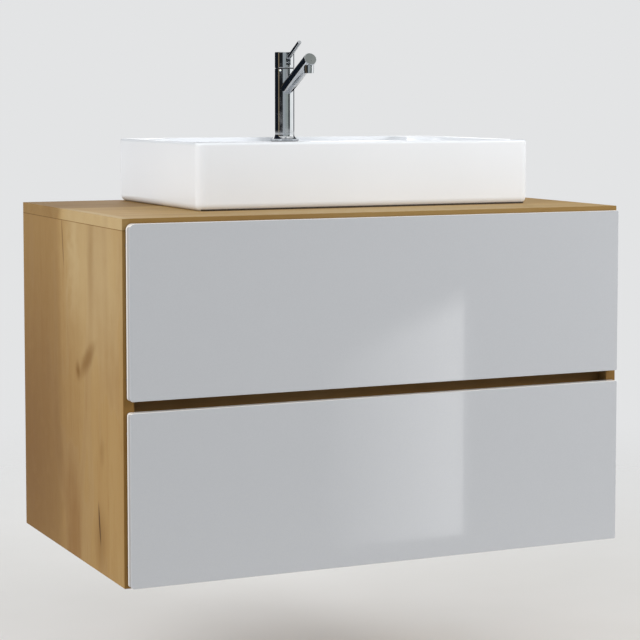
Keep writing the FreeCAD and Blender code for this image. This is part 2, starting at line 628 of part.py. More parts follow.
drain_hole = rod("drain_hole", "dims.basin_x", DRAIN_Y, TOP, "dims.drain_hole_radius", "dims.basin_height")
tap_hole = rod("tap_hole", "dims.basin_x", TAP_Y, TOP, "dims.tap_hole_radius", "2 * dims.basin_height")
piece(cut("basin", basin, [recess, drain_hole, tap_hole]), "basin")

# Drain: flanged waste with a guide cross, two seals, a nut and the plug on its stem.
WASTE_BORE = "(dims.waste_radius - dims.waste_wall)"
shell = turned("waste_shell", [
    (WASTE_BORE, "-dims.waste_length"), ("dims.waste_radius", "-dims.waste_length"),
    ("dims.waste_radius", "0"), ("dims.flange_radius", "0"),
    ("dims.flange_radius", "dims.flange_thick"), (WASTE_BORE, "dims.flange_thick")],
    "dims.basin_x", DRAIN_Y, WASTE)
guide_z = f"({WASTE} - dims.guide_drop - dims.guide_height)"
hub = rod("guide_hub", "dims.basin_x", DRAIN_Y, guide_z, "dims.guide_radius", "dims.guide_height")
bar_half = "(dims.waste_radius - dims.waste_wall / 2)"
bar_x = block("guide_bar_x", f"dims.basin_x - {bar_half}", f"{DRAIN_Y} - dims.guide_bar / 2", guide_z,
              f"2 * {bar_half}", "dims.guide_bar", "dims.guide_height")
bar_y = block("guide_bar_y", "dims.basin_x - dims.guide_bar / 2", f"{DRAIN_Y} - {bar_half}", guide_z,
              "dims.guide_bar", f"2 * {bar_half}", "dims.guide_height")
stem_way = rod("stem_way", "dims.basin_x", DRAIN_Y, guide_z, "dims.plug_stem_radius + dims.running_fit",
               "dims.guide_height")
piece(cut("drain_waste", joined("waste_solid", [shell, hub, bar_x, bar_y]), [stem_way]), "drain_waste")
upper_seal = ring("upper_seal", "dims.drain_hole_radius", "dims.plug_radius", "dims.seal_thick",
                  "dims.basin_x", DRAIN_Y, f"{TOP} + dims.basin_floor")
lower_seal = ring("lower_seal", "dims.waste_radius", "dims.waste_nut_radius + dims.seal_over",
                  "dims.seal_thick", "dims.basin_x", DRAIN_Y, f"{TOP} - dims.seal_thick")
piece(grouped("drain_seals", [upper_seal, lower_seal]), "drain_seals")
piece(ring("drain_nut", "dims.waste_radius", "dims.waste_nut_radius", "dims.waste_nut_height",
           "dims.basin_x", DRAIN_Y, f"{TOP} - dims.seal_thick - dims.waste_nut_height"), "drain_nut")
piece(turned("drain_plug", [
    ("0", "-dims.plug_stem_length"), ("dims.plug_stem_radius", "-dims.plug_stem_length"),
    ("dims.plug_stem_radius", "dims.flange_thick"), ("dims.plug_radius", "dims.flange_thick"),
    ("dims.plug_radius", "dims.flange_thick + dims.plug_thick / 3"),
    ("dims.plug_radius * 0.8", "dims.flange_thick + dims.plug_thick"),
    ("0", "dims.flange_thick + dims.plug_thick")], "dims.basin_x", DRAIN_Y, WASTE), "drain_plug")

# Bottle trap: slip nut and dip tube under the waste, head, cup, outlet nut and pipe to the wall.
TUBE = "dims.trap_tube_radius"
TUBE_BORE = f"({TUBE} - dims.trap_wall)"
NUT_OUT = "(dims.waste_radius + dims.slip_nut_wall)"
COLLAR = f"({TUBE} + dims.trap_collar)"
NUT_FOOT = "(-dims.trap_collar_length - dims.slip_nut_lip)"
piece(turned("trap_nut", [
    (TUBE, NUT_FOOT), (NUT_OUT, NUT_FOOT), (NUT_OUT, "dims.slip_nut_grip"),
    ("dims.waste_radius", "dims.slip_nut_grip"),
    ("dims.waste_radius", "-dims.trap_collar_length"), (TUBE, "-dims.trap_collar_length")],
    "dims.basin_x", DRAIN_Y, WASTE_END), "trap_nut")
NECK = f"({WASTE_END} - dims.head_drop)"
CUP_END = "(dims.head_neck_height + dims.head_shoulder + dims.head_height + dims.cup_height)"
DIP = f"(dims.head_drop + {CUP_END} - dims.dip_clear)"
piece(turned("trap_tube", [
    (TUBE_BORE, f"-{DIP}"), (TUBE, f"-{DIP}"), (TUBE, "-dims.trap_collar_length"),
    (COLLAR, "-dims.trap_collar_length"), (COLLAR, "0"), (TUBE_BORE, "0")],
    "dims.basin_x", DRAIN_Y, WASTE_END), "trap_tube")
SHOULDER = "(dims.head_neck_height + dims.head_shoulder)"
HEAD_END = f"({SHOULDER} + dims.head_height)"
HEAD_BORE = "(dims.head_radius - dims.head_wall)"
NECK_BORE = f"({TUBE} + dims.neck_play)"
head = turned("head_shell", [
    (TUBE, "0"), ("dims.waste_radius", "0"), ("dims.waste_radius", "-dims.head_neck_height"),
    ("dims.head_radius", f"-{SHOULDER}"), ("dims.head_radius", f"-{HEAD_END}"),
    (HEAD_BORE, f"-{HEAD_END}"), (HEAD_BORE, f"-{SHOULDER}"), (NECK_BORE, f"-{SHOULDER}"),
    (NECK_BORE, "-dims.neck_seat"), (TUBE, "-dims.neck_seat")], "dims.basin_x", DRAIN_Y, NECK)
OUTLET_Z = f"({NECK} - {SHOULDER} - dims.outlet_drop)"
stub = rod("outlet_stub", "dims.basin_x", f"{DRAIN_Y} + dims.waste_radius", OUTLET_Z,
           "dims.outlet_stub_radius", "dims.outlet_stub_length - dims.waste_radius", "Y")
stub_way = rod("outlet_way", "dims.basin_x", DRAIN_Y, OUTLET_Z, TUBE_BORE,
               "dims.outlet_stub_length", "Y")
head_space = rod("head_space", "dims.basin_x", DRAIN_Y, f"{NECK} - {HEAD_END}", HEAD_BORE,
                 "dims.head_height")
piece(cut("trap_head", joined("head_solid", [head, stub]), [stub_way, head_space]), "trap_head")
CUP_OUT = "(dims.head_radius + dims.head_wall)"
CUP_STEP = f"(-{HEAD_END} - dims.cup_step)"
piece(turned("trap_cup", [
    ("0", f"-{CUP_END}"), ("dims.head_radius * 0.8", f"-{CUP_END}"),
    ("dims.head_radius", f"-{CUP_END} + dims.cup_foot"),
    ("dims.head_radius", CUP_STEP), (CUP_OUT, CUP_STEP),
    (CUP_OUT, f"-{HEAD_END} + dims.cup_grip"), ("dims.head_radius", f"-{HEAD_END} + dims.cup_grip"),
    ("dims.head_radius", f"-{HEAD_END}"), (HEAD_BORE, f"-{HEAD_END}"),
    (HEAD_BORE, f"-{CUP_END} + dims.head_wall"), ("0", f"-{CUP_END} + dims.head_wall")],
    "dims.basin_x", DRAIN_Y, NECK), "trap_cup")
BEAD = f"({TUBE} + dims.outlet_bead)"
STUB_END = f"({DRAIN_Y} + dims.outlet_stub_length)"
OUT_COLLAR = "(dims.outlet_stub_radius - dims.outlet_collar_play)"
piece(turned("trap_outlet_nut", [
    ("dims.outlet_stub_radius", "-dims.slip_nut_grip"),
    ("dims.outlet_stub_radius + dims.slip_nut_wall", "-dims.slip_nut_grip"),
    ("dims.outlet_stub_radius + dims.slip_nut_wall", "dims.slip_nut_lip * 2"),
    (BEAD, "dims.slip_nut_lip * 2"), (BEAD, "dims.slip_nut_lip"),
    ("dims.outlet_stub_radius", "dims.slip_nut_lip")],
    "dims.basin_x", STUB_END, OUTLET_Z, "Y"), "trap_outlet_nut")
PIPE_END = f"(-{STUB_END} - dims.outlet_wall_gap)"
piece(turned("trap_outlet", [
    (TUBE_BORE, "0"), (OUT_COLLAR, "0"), (OUT_COLLAR, "dims.slip_nut_lip"), (BEAD, "dims.slip_nut_lip"),
    (BEAD, "dims.outlet_bead_length"), (TUBE, "dims.outlet_bead_length"), (TUBE, PIPE_END),
    (TUBE_BORE, PIPE_END)], "dims.basin_x", STUB_END, OUTLET_Z, "Y"), "trap_outlet")

# Tap: flared column with the cartridge in its head, rising spout with a downward nozzle.
piece(ring("tap_gasket", "dims.tap_hole_radius", "dims.foot_radius - dims.gasket_inset",
           "dims.gasket_thick", "dims.basin_x", TAP_Y, DECK), "tap_gasket")
FOOT_TOP = "(dims.gasket_thick + dims.foot_thick)"
CHAMBER = "(dims.column_radius - dims.column_wall)"
column = turned("column_body", [
    ("0", "dims.gasket_thick"), ("dims.foot_radius", "dims.gasket_thick"),
    ("dims.foot_radius", FOOT_TOP), ("dims.column_radius", FOOT_TOP),
    ("dims.column_radius", "dims.column_height"),
    (CHAMBER, "dims.column_height"), (CHAMBER, "dims.chamber_floor"), ("0", "dims.chamber_floor")],
    "dims.basin_x", TAP_Y, DECK)
rounded(column, "dims.foot_flare",
        lambda box, mid: near(box.ZMin, number(FOOT_TOP))
        and near(box.XLength, 2 * number("dims.column_radius")))
inlets = []
for hand, side in SIDES:
    inlets.append(rod(f"inlet_{hand}", f"dims.basin_x + ({side}) * dims.inlet_apart",
                      f"{TAP_Y} - dims.inlet_forward", f"{DECK} + dims.gasket_thick", "dims.inlet_radius",
                      "dims.inlet_depth"))
STUD_Y = f"({TAP_Y} + dims.stud_back)"
stud = rod("tap_stud", "dims.basin_x", STUD_Y, f"{DECK} - dims.stud_below", "dims.stud_radius",
           "dims.stud_below + dims.inlet_depth")
piece(stud, "tap_stud")
SPOUT_Z = f"({DECK} + dims.spout_height)"
water_way = rod("water_way", "0", "0", "0", "dims.nozzle_bore", "dims.column_radius * 1.5")
tilted(water_way, "dims.spout_angle", "dims.basin_x", TAP_Y, SPOUT_Z)
piece(cut("tap_column", column, inlets + [stud, water_way]), "tap_column")

tube = turned("spout_tube", [
    ("0", "0"), ("dims.spout_radius", "0"), ("dims.spout_radius", "dims.spout_length"),
    ("0", "dims.spout_length")], "0", "0", "0")
rounded(tube, "dims.spout_edge", lambda box, mid: near(box.ZMin, number("dims.spout_length")))
bore = rod("spout_bore", "0", "0", "0", "dims.spout_bore", "dims.spout_length - dims.spout_end_wall")
for obj in (tube, bore):
    tilted(obj, "dims.spout_angle", "dims.basin_x", TAP_Y, SPOUT_Z)
NOZZLE_Y = f"({TAP_Y} - dims.nozzle_reach)"
NOZZLE_Z = f"({SPOUT_Z} + dims.nozzle_reach * tan(dims.spout_angle))"
NOZZLE_END = f"({NOZZLE_Z} - dims.nozzle_drop)"
boss = rod("nozzle_boss", "dims.basin_x", NOZZLE_Y, NOZZLE_END, "dims.nozzle_radius", "dims.nozzle_drop")
boss_way = rod("nozzle_way", "dims.basin_x", NOZZLE_Y, NOZZLE_END, "dims.nozzle_bore", "dims.nozzle_drop")
shaft = rod("column_shaft", "dims.basin_x", TAP_Y, DECK, "dims.column_radius", "dims.column_height")
piece(cut("tap_spout", joined("spout_solid", [tube, boss]), [bore, boss_way, shaft]), "tap_spout")
piece(turned("tap_aerator", [
    ("0", "dims.aerator_recess"), ("dims.nozzle_bore", "dims.aerator_recess"), ("dims.nozzle_bore", "0"),
    ("dims.aerator_radius", "0"), ("dims.aerator_radius", "dims.aerator_height"),
    ("0", "dims.aerator_height")],
    "dims.basin_x", NOZZLE_Y, f"{NOZZLE_END} - dims.aerator_height"), "tap_aerator")

RING_FLOOR = "(dims.column_height - dims.lock_ring_height)"
STEM_FLOOR = f"({RING_FLOOR} - dims.stem_depth)"
STEM_WAY = "(dims.stem_radius + dims.running_fit)"
piece(turned("tap_cartridge", [
    ("0", "dims.cartridge_floor"), (CHAMBER, "dims.cartridge_floor"), (CHAMBER, RING_FLOOR),
    (STEM_WAY, RING_FLOOR), (STEM_WAY, STEM_FLOOR), ("0", STEM_FLOOR)],
    "dims.basin_x", TAP_Y, DECK), "tap_cartridge")
piece(ring("tap_lock_ring", "dims.lock_ring_hole", CHAMBER, "dims.lock_ring_height", "dims.basin_x",
           TAP_Y, f"{DECK} + {RING_FLOOR}"), "tap_lock_ring")

# Tap handle: stem and cap turn together, the lever tilts on a cross pin in the slot of the cap.
PIVOT_Y = f"({TAP_Y} - dims.pivot_forward)"
PIVOT_Z = f"({DECK} + dims.pivot_level)"
SLOT_FLOOR = "(dims.pivot_level - dims.lever_eye - dims.slot_play)"
EYE_WIDTH = "(2 * dims.lever_radius + 2 * dims.lever_cheek)"
SLOT_WIDTH = f"({EYE_WIDTH} + 2 * dims.slot_play)"
stem_start = f"({STEM_FLOOR} + dims.stem_play)"
stem = rod("tap_stem", "dims.basin_x", TAP_Y, f"{DECK} + {stem_start}", "dims.stem_radius",
           f"{SLOT_FLOOR} - {stem_start}")
piece(stem, "tap_stem")
pin = rod("tap_pin", "dims.basin_x - dims.pin_length / 2", PIVOT_Y, PIVOT_Z, "dims.pin_radius",
          "dims.pin_length", "X")
piece(pin, "tap_pin")
CAP_FLOOR = "(dims.column_height + dims.cap_seam)"
CAP_TOP = f"({CAP_FLOOR} + dims.cap_height)"
cap = turned("cap_body", [
    ("0", CAP_FLOOR), ("dims.column_radius", CAP_FLOOR), ("dims.column_radius", CAP_TOP),
    ("0", CAP_TOP)], "dims.basin_x", TAP_Y, DECK)
rounded(cap, "dims.cap_edge", lambda box, mid: near(box.ZMin, box.ZMax) and (
    near(box.ZMin, number(CAP_FLOOR)) or near(box.ZMin, number(CAP_TOP))))
slot = block("cap_slot", f"dims.basin_x - {SLOT_WIDTH} / 2", f"{TAP_Y} - 2 * dims.column_radius",
             f"{DECK} + {SLOT_FLOOR}", SLOT_WIDTH, "2 * dims.column_radius + dims.slot_rear",
             "2 * dims.cap_height")
piece(cut("tap_cap", cap, [slot, stem, pin]), "tap_cap")
rod_body = turned("lever_rod", [
    ("0", "0"), ("dims.lever_radius", "0"), ("dims.lever_radius", "dims.lever_length"),
    ("0", "dims.lever_length")], "0", "0", "0")
rounded(rod_body, "dims.lever_edge", lambda box, mid: near(box.ZMin, number("dims.lever_length")))
tilted(rod_body, "dims.lever_angle", "dims.basin_x", PIVOT_Y, PIVOT_Z)
eye = rod("lever_eye", f"dims.basin_x - {EYE_WIDTH} / 2", PIVOT_Y, PIVOT_Z, "dims.lever_eye",
          EYE_WIDTH, "X")
eye_way = rod("lever_eye_way", f"dims.basin_x - {EYE_WIDTH}", PIVOT_Y, PIVOT_Z,
              "dims.pin_radius + dims.running_fit", f"2 * {EYE_WIDTH}", "X")
piece(cut("tap_lever", joined("lever_solid", [rod_body, eye]), [eye_way]), "tap_lever")

# Tap fixing below the ledge: horseshoe washer round the supply inlets and a nut on the stud.
WASHER_Z = f"({DECK} - dims.deck_thick - dims.washer_thick)"
WASHER_X = "(dims.basin_x - dims.washer_width / 2)"
WASHER_Y = f"({TAP_Y} - dims.washer_front)"
washer = block("washer_plate", WASHER_X, WASHER_Y, WASHER_Z, "dims.washer_width",
               "dims.washer_front + dims.washer_rear", "dims.washer_thick")
washer_gap = block("washer_gap", f"{WASHER_X} + dims.washer_arm", WASHER_Y, WASHER_Z,
                   "dims.washer_width - 2 * dims.washer_arm",
                   "dims.washer_front + dims.washer_rear - dims.washer_bridge", "dims.washer_thick")
piece(cut("tap_washer", washer, [washer_gap, stud]), "tap_washer")
hexagon = doc.addObject("Part::Prism", "nut_hexagon")
hexagon.Polygon = 6
bind(hexagon, Circumradius="dims.nut_corner", Height="dims.nut_height")
move(hexagon, "dims.basin_x", STUD_Y, f"{WASHER_Z} - dims.nut_height")
piece(cut("tap_nut", hexagon, [stud]), "tap_nut")

# Drawers: boxes of sides, bottom in grooves and back, behind the gloss fronts.
RECESS_HALF = "(dims.recess_width / 2 + dims.recess_wall)"
for drawer, box, front_z in (("upper", UPPER_BOX, UPPER_FRONT), ("lower", LOWER_BOX, LOWER_FRONT)):
    back_floor = f"({box} + dims.bottom_lift + dims.drawer_bottom_thick)"
    back_height = f"({BOX_HEIGHT} - dims.bottom_lift - dims.drawer_bottom_thick)"
    side_inner = f"({BOX_HALF} - dims.drawer_board)"
    levels = [f"({back_floor} + {back_height} * {share})" for share in ("0.25", "0.75")]
    pegs = []
    for hand, side in SIDES:
        for row, z in enumerate(levels):
            peg_x = f"({side}) * ({BOX_HALF} - dims.drawer_board / 2)"
            pegs.append(rod(f"{drawer}_front_peg_{hand}_{row}", peg_x,
                            f"{FRONT_BACK} - dims.small_dowel_bite", z, "dims.small_dowel_radius",
                            "dims.small_dowel_length", "Y"))
            peg_x = low_x(side, f"{side_inner} + dims.small_dowel_bite - dims.small_dowel_length",
                          "dims.small_dowel_length")
            pegs.append(rod(f"{drawer}_back_peg_{hand}_{row}", peg_x,
                            f"{BOX_REAR} - dims.drawer_board / 2", z, "dims.small_dowel_radius",
                            "dims.small_dowel_length", "X"))
    pegs = piece(grouped(f"{drawer}_dowels", pegs), f"{drawer}_dowels")

    front_half = f"({HALF} - dims.side_reveal)"
    front = padded(f"{drawer}_front_body",
                   rectangle(f"-{front_half}", "0", front_half, "dims.front_thick"), FRONT_HEIGHT)
    move(front, "0", f"{FRONT_BACK} - dims.front_thick", front_z)
    top_left = "dims.front_corner_top" if drawer == "upper" else "dims.front_corner_left"
    for side, level, radius in ((-1, "0", "dims.front_corner_left"), (-1, FRONT_HEIGHT, top_left),
                                (1, "0", "dims.front_corner_right"),
                                (1, FRONT_HEIGHT, "dims.front_corner_right")):
        rounded(front, radius,
                lambda edge, mid: edge.YLength > 1 and near(mid.x, side * number(front_half))
                and near(mid.z, number(level)))
    rounded(front, "dims.front_edge", lambda edge, mid: near(edge.YMax, 0))
    piece(cut(f"{drawer}_front", front, [pegs]), f"{drawer}_front")

    groove_half = f"({side_inner} + dims.groove_depth)"
    groove = block(f"{drawer}_groove", f"-{groove_half}", FRONT_BACK, f"{box} + dims.bottom_lift",
                   f"2 * {groove_half}", BOX_LENGTH, "dims.drawer_bottom_thick")
    for hand, side in SIDES:
        board = block(f"{drawer}_side_board_{hand}", low_x(side, side_inner, "dims.drawer_board"),
                      FRONT_BACK, box, "dims.drawer_board", BOX_LENGTH, BOX_HEIGHT)
        piece(cut(f"{drawer}_side_{hand}", board, [groove, pegs]), f"{drawer}_side_{hand}")
    back_y = f"{BOX_REAR} - dims.drawer_board"
    if drawer == "lower":
        piece(groove, "lower_bottom")
        back = block("lower_back_board", f"-{side_inner}", back_y, back_floor, f"2 * {side_inner}",
                     "dims.drawer_board", back_height)
        piece(cut("lower_back", back, [pegs]), "lower_back")
        continue
    recess_front = f"({BOX_REAR} - dims.recess_depth)"
    cut_out = block("upper_cut_out", "dims.basin_x - dims.recess_width / 2", recess_front,
                    f"{box} + dims.bottom_lift", "dims.recess_width", "dims.recess_depth",
                    "dims.drawer_bottom_thick")
    piece(cut("upper_bottom", groove, [cut_out]), "upper_bottom")
    spans = {"left": (f"-{side_inner}", f"(dims.basin_x - {RECESS_HALF})"),
             "right": (f"(dims.basin_x + {RECESS_HALF})", side_inner)}
    for hand, (start, end) in spans.items():
        back = block(f"upper_back_board_{hand}", start, back_y, back_floor, f"{end} - ({start})",
                     "dims.drawer_board", back_height)
        piece(cut(f"upper_back_{hand}", back, [pegs]), f"upper_back_{hand}")
    inner = "(dims.recess_width / 2)"
    liner = padded("upper_liner", [
        (f"-{RECESS_HALF}", "0"), (f"-{RECESS_HALF}", "-dims.recess_depth - dims.recess_wall"),
        (RECESS_HALF, "-dims.recess_depth - dims.recess_wall"), (RECESS_HALF, "0"), (inner, "0"),
        (inner, "-dims.recess_depth"), (f"-{inner}", "-dims.recess_depth"), (f"-{inner}", "0")], back_height)
    move(liner, "dims.basin_x", BOX_REAR, back_floor)
    deep = number("dims.recess_depth")
    rounded(liner, "dims.recess_corner",
            lambda edge, mid: edge.ZLength > 1 and near(mid.y, -deep) and edge.YLength < 1)
    rounded(liner, "dims.recess_corner + dims.recess_wall",
            lambda edge, mid: edge.ZLength > 1 and near(mid.y, -deep - number("dims.recess_wall")))
    piece(liner, "upper_liner")

doc.recompute()
for obj in doc.Objects:
    states = set(obj.State) & {"Invalid", "Error"}
    if states:
        raise RuntimeError(f"{obj.Label}: {states}")
os.makedirs("parts", exist_ok=True)
for obj in pieces:
    if obj.Shape.isNull() or not obj.Shape.isValid():
        raise RuntimeError(f"{obj.Label}: bad shape")
    obj.Shape.exportStep(f"parts/{obj.Label}.step")
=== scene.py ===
import math

import bmesh
import bpy
from mathutils import Matrix, Vector


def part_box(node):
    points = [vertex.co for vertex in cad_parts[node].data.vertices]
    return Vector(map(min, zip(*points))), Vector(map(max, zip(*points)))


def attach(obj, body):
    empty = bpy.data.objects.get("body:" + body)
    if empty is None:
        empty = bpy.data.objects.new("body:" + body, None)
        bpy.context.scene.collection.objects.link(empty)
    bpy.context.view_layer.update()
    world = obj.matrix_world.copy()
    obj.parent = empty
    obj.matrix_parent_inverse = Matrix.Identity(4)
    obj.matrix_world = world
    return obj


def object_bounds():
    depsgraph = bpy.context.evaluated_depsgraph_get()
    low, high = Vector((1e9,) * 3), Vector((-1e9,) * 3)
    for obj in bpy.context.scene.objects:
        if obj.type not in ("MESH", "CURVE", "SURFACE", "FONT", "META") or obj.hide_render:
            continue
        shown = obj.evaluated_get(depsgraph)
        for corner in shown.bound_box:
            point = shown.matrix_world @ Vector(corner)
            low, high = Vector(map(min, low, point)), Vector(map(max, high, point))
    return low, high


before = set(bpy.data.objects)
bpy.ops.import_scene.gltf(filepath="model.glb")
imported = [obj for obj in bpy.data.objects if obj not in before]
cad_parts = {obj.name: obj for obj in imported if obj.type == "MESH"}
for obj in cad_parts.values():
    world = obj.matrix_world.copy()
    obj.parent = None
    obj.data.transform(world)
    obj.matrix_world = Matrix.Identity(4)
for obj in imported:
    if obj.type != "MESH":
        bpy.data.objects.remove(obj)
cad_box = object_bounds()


# Carcass boards: two sides, a bottom board and three rails of 16 mm chipboard.
# They are faced with printed oak melamine, edged with the same print,
# cut to size and joined with glued dowels.
def colour(text):
    """Turns a hex colour as seen on a screen into the linear values of the shaders."""
    parts = [int(text[i:i + 2], 16) / 255 for i in (1, 3, 5)]
    return (*[p / 12.92 if p <= 0.04045 else ((p + 0.055) / 1.055) ** 2.4 for p in parts], 1.0)


def add(material, kind, inputs=None, stops=None, **settings):
    """Adds a node, sets what it holds, and sets or links its sockets, by name or by number."""
    node = material.node_tree.nodes.new("ShaderNode" + kind)
    for name, value in settings.items():
        setattr(node, name, value)
    for key, value in (inputs or {}).items():
        if isinstance(value, bpy.types.NodeSocket):
            material.node_tree.links.new(value, node.inputs[key])
        else:
            node.inputs[key].default_value = value
    for i, (place, tone) in enumerate(stops or []):
        if i > 1:
            node.color_ramp.elements.new(place)
        node.color_ramp.elements[i].position = place
        node.color_ramp.elements[i].color = colour(tone)
    return node


def finish(name, **sockets):
    """Starts a material and sets the sockets that are the same all over it."""
    material = bpy.data.materials.new(name)
    material.use_nodes = True
    shader = material.node_tree.nodes["Principled BSDF"]
    for key, value in sockets.items():
        shader.inputs[key.replace("_", " ")].default_value = value
    return material


def wire(material, **sockets):
    """Links what varies over a material to the sockets of its shader."""
    shader = material.node_tree.nodes["Principled BSDF"]
    for key, value in sockets.items():
        material.node_tree.links.new(value, shader.inputs[key.replace("_", " ")])


def per_mm(size):
    """Repeats per metre of a pattern whose features are this many millimetres."""
    return 1000 / size


def dress(material, *nodes):
    """Gives CAD nodes their material."""
    for name in nodes:
        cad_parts[name].material_slots[0].material = material


HONEY = ("#906E41", "#A08151", "#B09566")
# The front edge band starts here; its darker tone is painted shade, where the fronts shade the edges.
EDGE_BAND_Y, BAND_FADE = -0.4795, 0.0008
# A shade line at the joint with the worktop: how far below it the line starts and is full.
# Boards without that line have the joint at a level far above the part.
SEAM_START, SEAM_FULL = 0.0014, 0.0006
NO_JOINT = 1.0
# Marks in the print, and patches of painted light and shade: colour, how far the outline wanders in mm,
# and the share that is evenly dark.
PALE_AND_PAINTED_LIGHT = ("#BAA47B", 60, 0.0)
# A dark patch: painted shade.
PAINTED_SHADE = ("#74522A", 60, 0.0)
KNOT = ("#74501F", 12, 0.10)
SPLIT = ("#4A2F16", 1.5, 0.5)
# A lighter patch, for the front of the worktop's left end.
PALE_END = ("#BDA983", 10, 0.6)
STREAK = ("#86653A", 10, 0.0)
# An evenly dark band: painted shade along rear edges.
PAINTED_REAR_SHADE = ("#6E4E28", 8, 0.85)
MARK_DEPTH = 60


def oak_print(name, turn, shift, tones=HONEY, marks=(), joint=NO_JOINT):
    """Oak melamine: honey tones in broad clouds, a soft figure, fine pores, single marks, and painted
    light and shade.
    """
    oak = finish(name, IOR=1.5, Specular_IOR_Level=0.1)
    place = add(oak, "TexCoord").outputs["Object"]
    board = add(oak, "Mapping", {"Vector": place, "Location": shift, "Rotation": turn}).outputs[0]
    layers = {}
    for layer, across, along, detail, wander in (
            ("cloud", 110, 480, 2.0, 0.6), ("figure", 26, 520, 3.0, 0.7), ("pore", 1.6, 45, 2.0, 0.0)):
        stretched = add(oak, "Mapping", {
            "Vector": board, "Scale": (per_mm(across), per_mm(across), per_mm(along))}).outputs[0]
        layers[layer] = add(oak, "TexNoise", {
            "Vector": stretched, "Scale": 1.0, "Detail": detail, "Distortion": wander}).outputs[0]
    tone = add(oak, "ValToRGB", {"Fac": layers["cloud"]}, stops=[
        (0.30, tones[0]), (0.70, tones[2]), (0.50, tones[1])]).outputs[0]
    for layer, low, high, dark in (("figure", 0.38, 0.78, "#F4EDE2"), ("pore", 0.56, 0.78, "#EFE7DB")):
        mask = add(oak, "MapRange", {"Value": layers[layer], 1: low, 2: high}).outputs[0]
        tone = add(oak, "Mix", {0: mask, 6: tone, 7: colour(dark)},
                   data_type="RGBA", blend_type="MULTIPLY").outputs[2]
    sway = add(oak, "TexNoise", {"Vector": place, "Scale": per_mm(28), "Detail": 3.0}).outputs["Color"]
    sway = add(oak, "VectorMath", {0: sway, 1: (0.5, 0.5, 0.5)}, operation="SUBTRACT").outputs[0]
    for (dark, wander, core), spot, half, lean, strength in marks:
        swayed = add(oak, "VectorMath", {0: sway, 1: (wander / 1000,) * 3, 2: place},
                     operation="MULTIPLY_ADD").outputs[0]
        local = add(oak, "Mapping", {
            "Vector": swayed, "Location": spot, "Rotation": (math.radians(lean), 0.0, 0.0),
            "Scale": [size / 1000 for size in half]}, vector_type="TEXTURE").outputs[0]
        reach = add(oak, "VectorMath", {0: local}, operation="LENGTH").outputs["Value"]
        mask = add(oak, "MapRange", {"Value": reach, 1: 1.0, 2: core, 3: 0.0, 4: strength},
                   interpolation_type="SMOOTHSTEP").outputs[0]
        tone = add(oak, "Mix", {0: mask, 6: tone, 7: colour(dark)}, data_type="RGBA").outputs[2]
    axes = add(oak, "SeparateXYZ", {"Vector": place}).outputs
    front_edge_shade = add(oak, "MapRange", {
        "Value": axes["Y"], 1: EDGE_BAND_Y + BAND_FADE, 2: EDGE_BAND_Y}).outputs[0]
    seam = add(oak, "MapRange", {
        "Value": axes["Z"], 1: joint - SEAM_START, 2: joint - SEAM_FULL}).outputs[0]
    # Painted shade on the front edges, and the shade line at the joint.
    for mask, shade in ((front_edge_shade, "#CFC5AD"), (seam, "#BFB093")):
        tone = add(oak, "Mix", {0: mask, 6: tone, 7: colour(shade)},
                   data_type="RGBA", blend_type="MULTIPLY").outputs[2]
    dull = add(oak, "MapRange", {"Value": layers["pore"], 3: 0.52, 4: 0.68}).outputs[0]
    relief = add(oak, "Bump", {"Height": layers["pore"], "Strength": 0.25, "Distance": 0.0001},
                 invert=True).outputs[0]
    wire(oak, Base_Color=tone, Roughness=dull, Normal=relief)
    return oak


UPRIGHT = (0.0, 0.0, 0.0)
LENGTHWISE = (0.0, math.radians(90), 0.0)
JOINT_LEVEL = 0.054


def on_face(x, marks):
    """Marks on the outer face of a side board, each placed and sized along Y and Z."""
    return [(kind, (x, *spot), (MARK_DEPTH, *half), lean, strength)
            for kind, spot, half, lean, strength in marks]


left_oak = oak_print("oak_melamine_left_side", UPRIGHT, (0.0, 0.0, 0.0), joint=JOINT_LEVEL,
                     marks=on_face(cad_box[0][0], [
                         # A broad pale patch high at the front of the side: painted light.
                         (PALE_AND_PAINTED_LIGHT, (-0.36, 0.00), (230, 230), 0, 0.55),
                         # Darker towards the bottom and the rear: painted shade.
                         (PAINTED_SHADE, (-0.02, -0.32), (390, 460), 0, 0.8),
                         # A darker band along the rear edge of the side: painted shade.
                         (PAINTED_REAR_SHADE, (0.0, -0.20), (208, 900), 0, 0.28),
                         (PALE_AND_PAINTED_LIGHT, (-0.262, 0.03), (40, 160), 0, 0.5),
                         (STREAK, (-0.339, 0.0), (24, 130), 0, 0.45),
                         (KNOT, (-0.320, -0.145), (68, 20), -36, 0.7),
                         (KNOT, (-0.277, -0.164), (14, 20), -12, 0.85),
                         (KNOT, (-0.378, -0.400), (40, 70), 0, 0.45),
                         (KNOT, (-0.385, -0.270), (16, 30), 0, 0.3),
                         (SPLIT, (-0.3725, -0.376), (3.4, 38), -8, 0.95),
                         (SPLIT, (-0.207, 0.020), (3.0, 48), -8, 0.45)]))
right_oak = oak_print("oak_melamine_right_side", UPRIGHT, (1.7, 0.4, 0.9), joint=JOINT_LEVEL,
                      marks=on_face(cad_box[1][0], [
                          # A broad pale patch: painted light.
                          (PALE_AND_PAINTED_LIGHT, (-0.30, -0.05), (260, 230), 0, 0.45),
                          # Darker low and towards the rear: painted shade.
                          (PAINTED_SHADE, (-0.20, -0.38), (300, 260), 0, 0.4),
                          (KNOT, (-0.180, -0.210), (16, 34), 16, 0.75),
                          (SPLIT, (-0.340, -0.080), (2.4, 40), 5, 0.8)]))
# The rails and the bottom board take darker tones of the print: painted shade, for the shade in the
# finger gap.
rail_oak_shaded = oak_print("oak_melamine_lengthwise_shaded", LENGTHWISE, (0.3, 1.1, 2.3),
                     tones=("#85643A", "#967549", "#A7895D"))
dress(left_oak, "side_left")
dress(right_oak, "side_right")
dress(rail_oak_shaded, "bottom_panel", "grip_rail", "rear_mid_rail", "rear_bottom_rail")


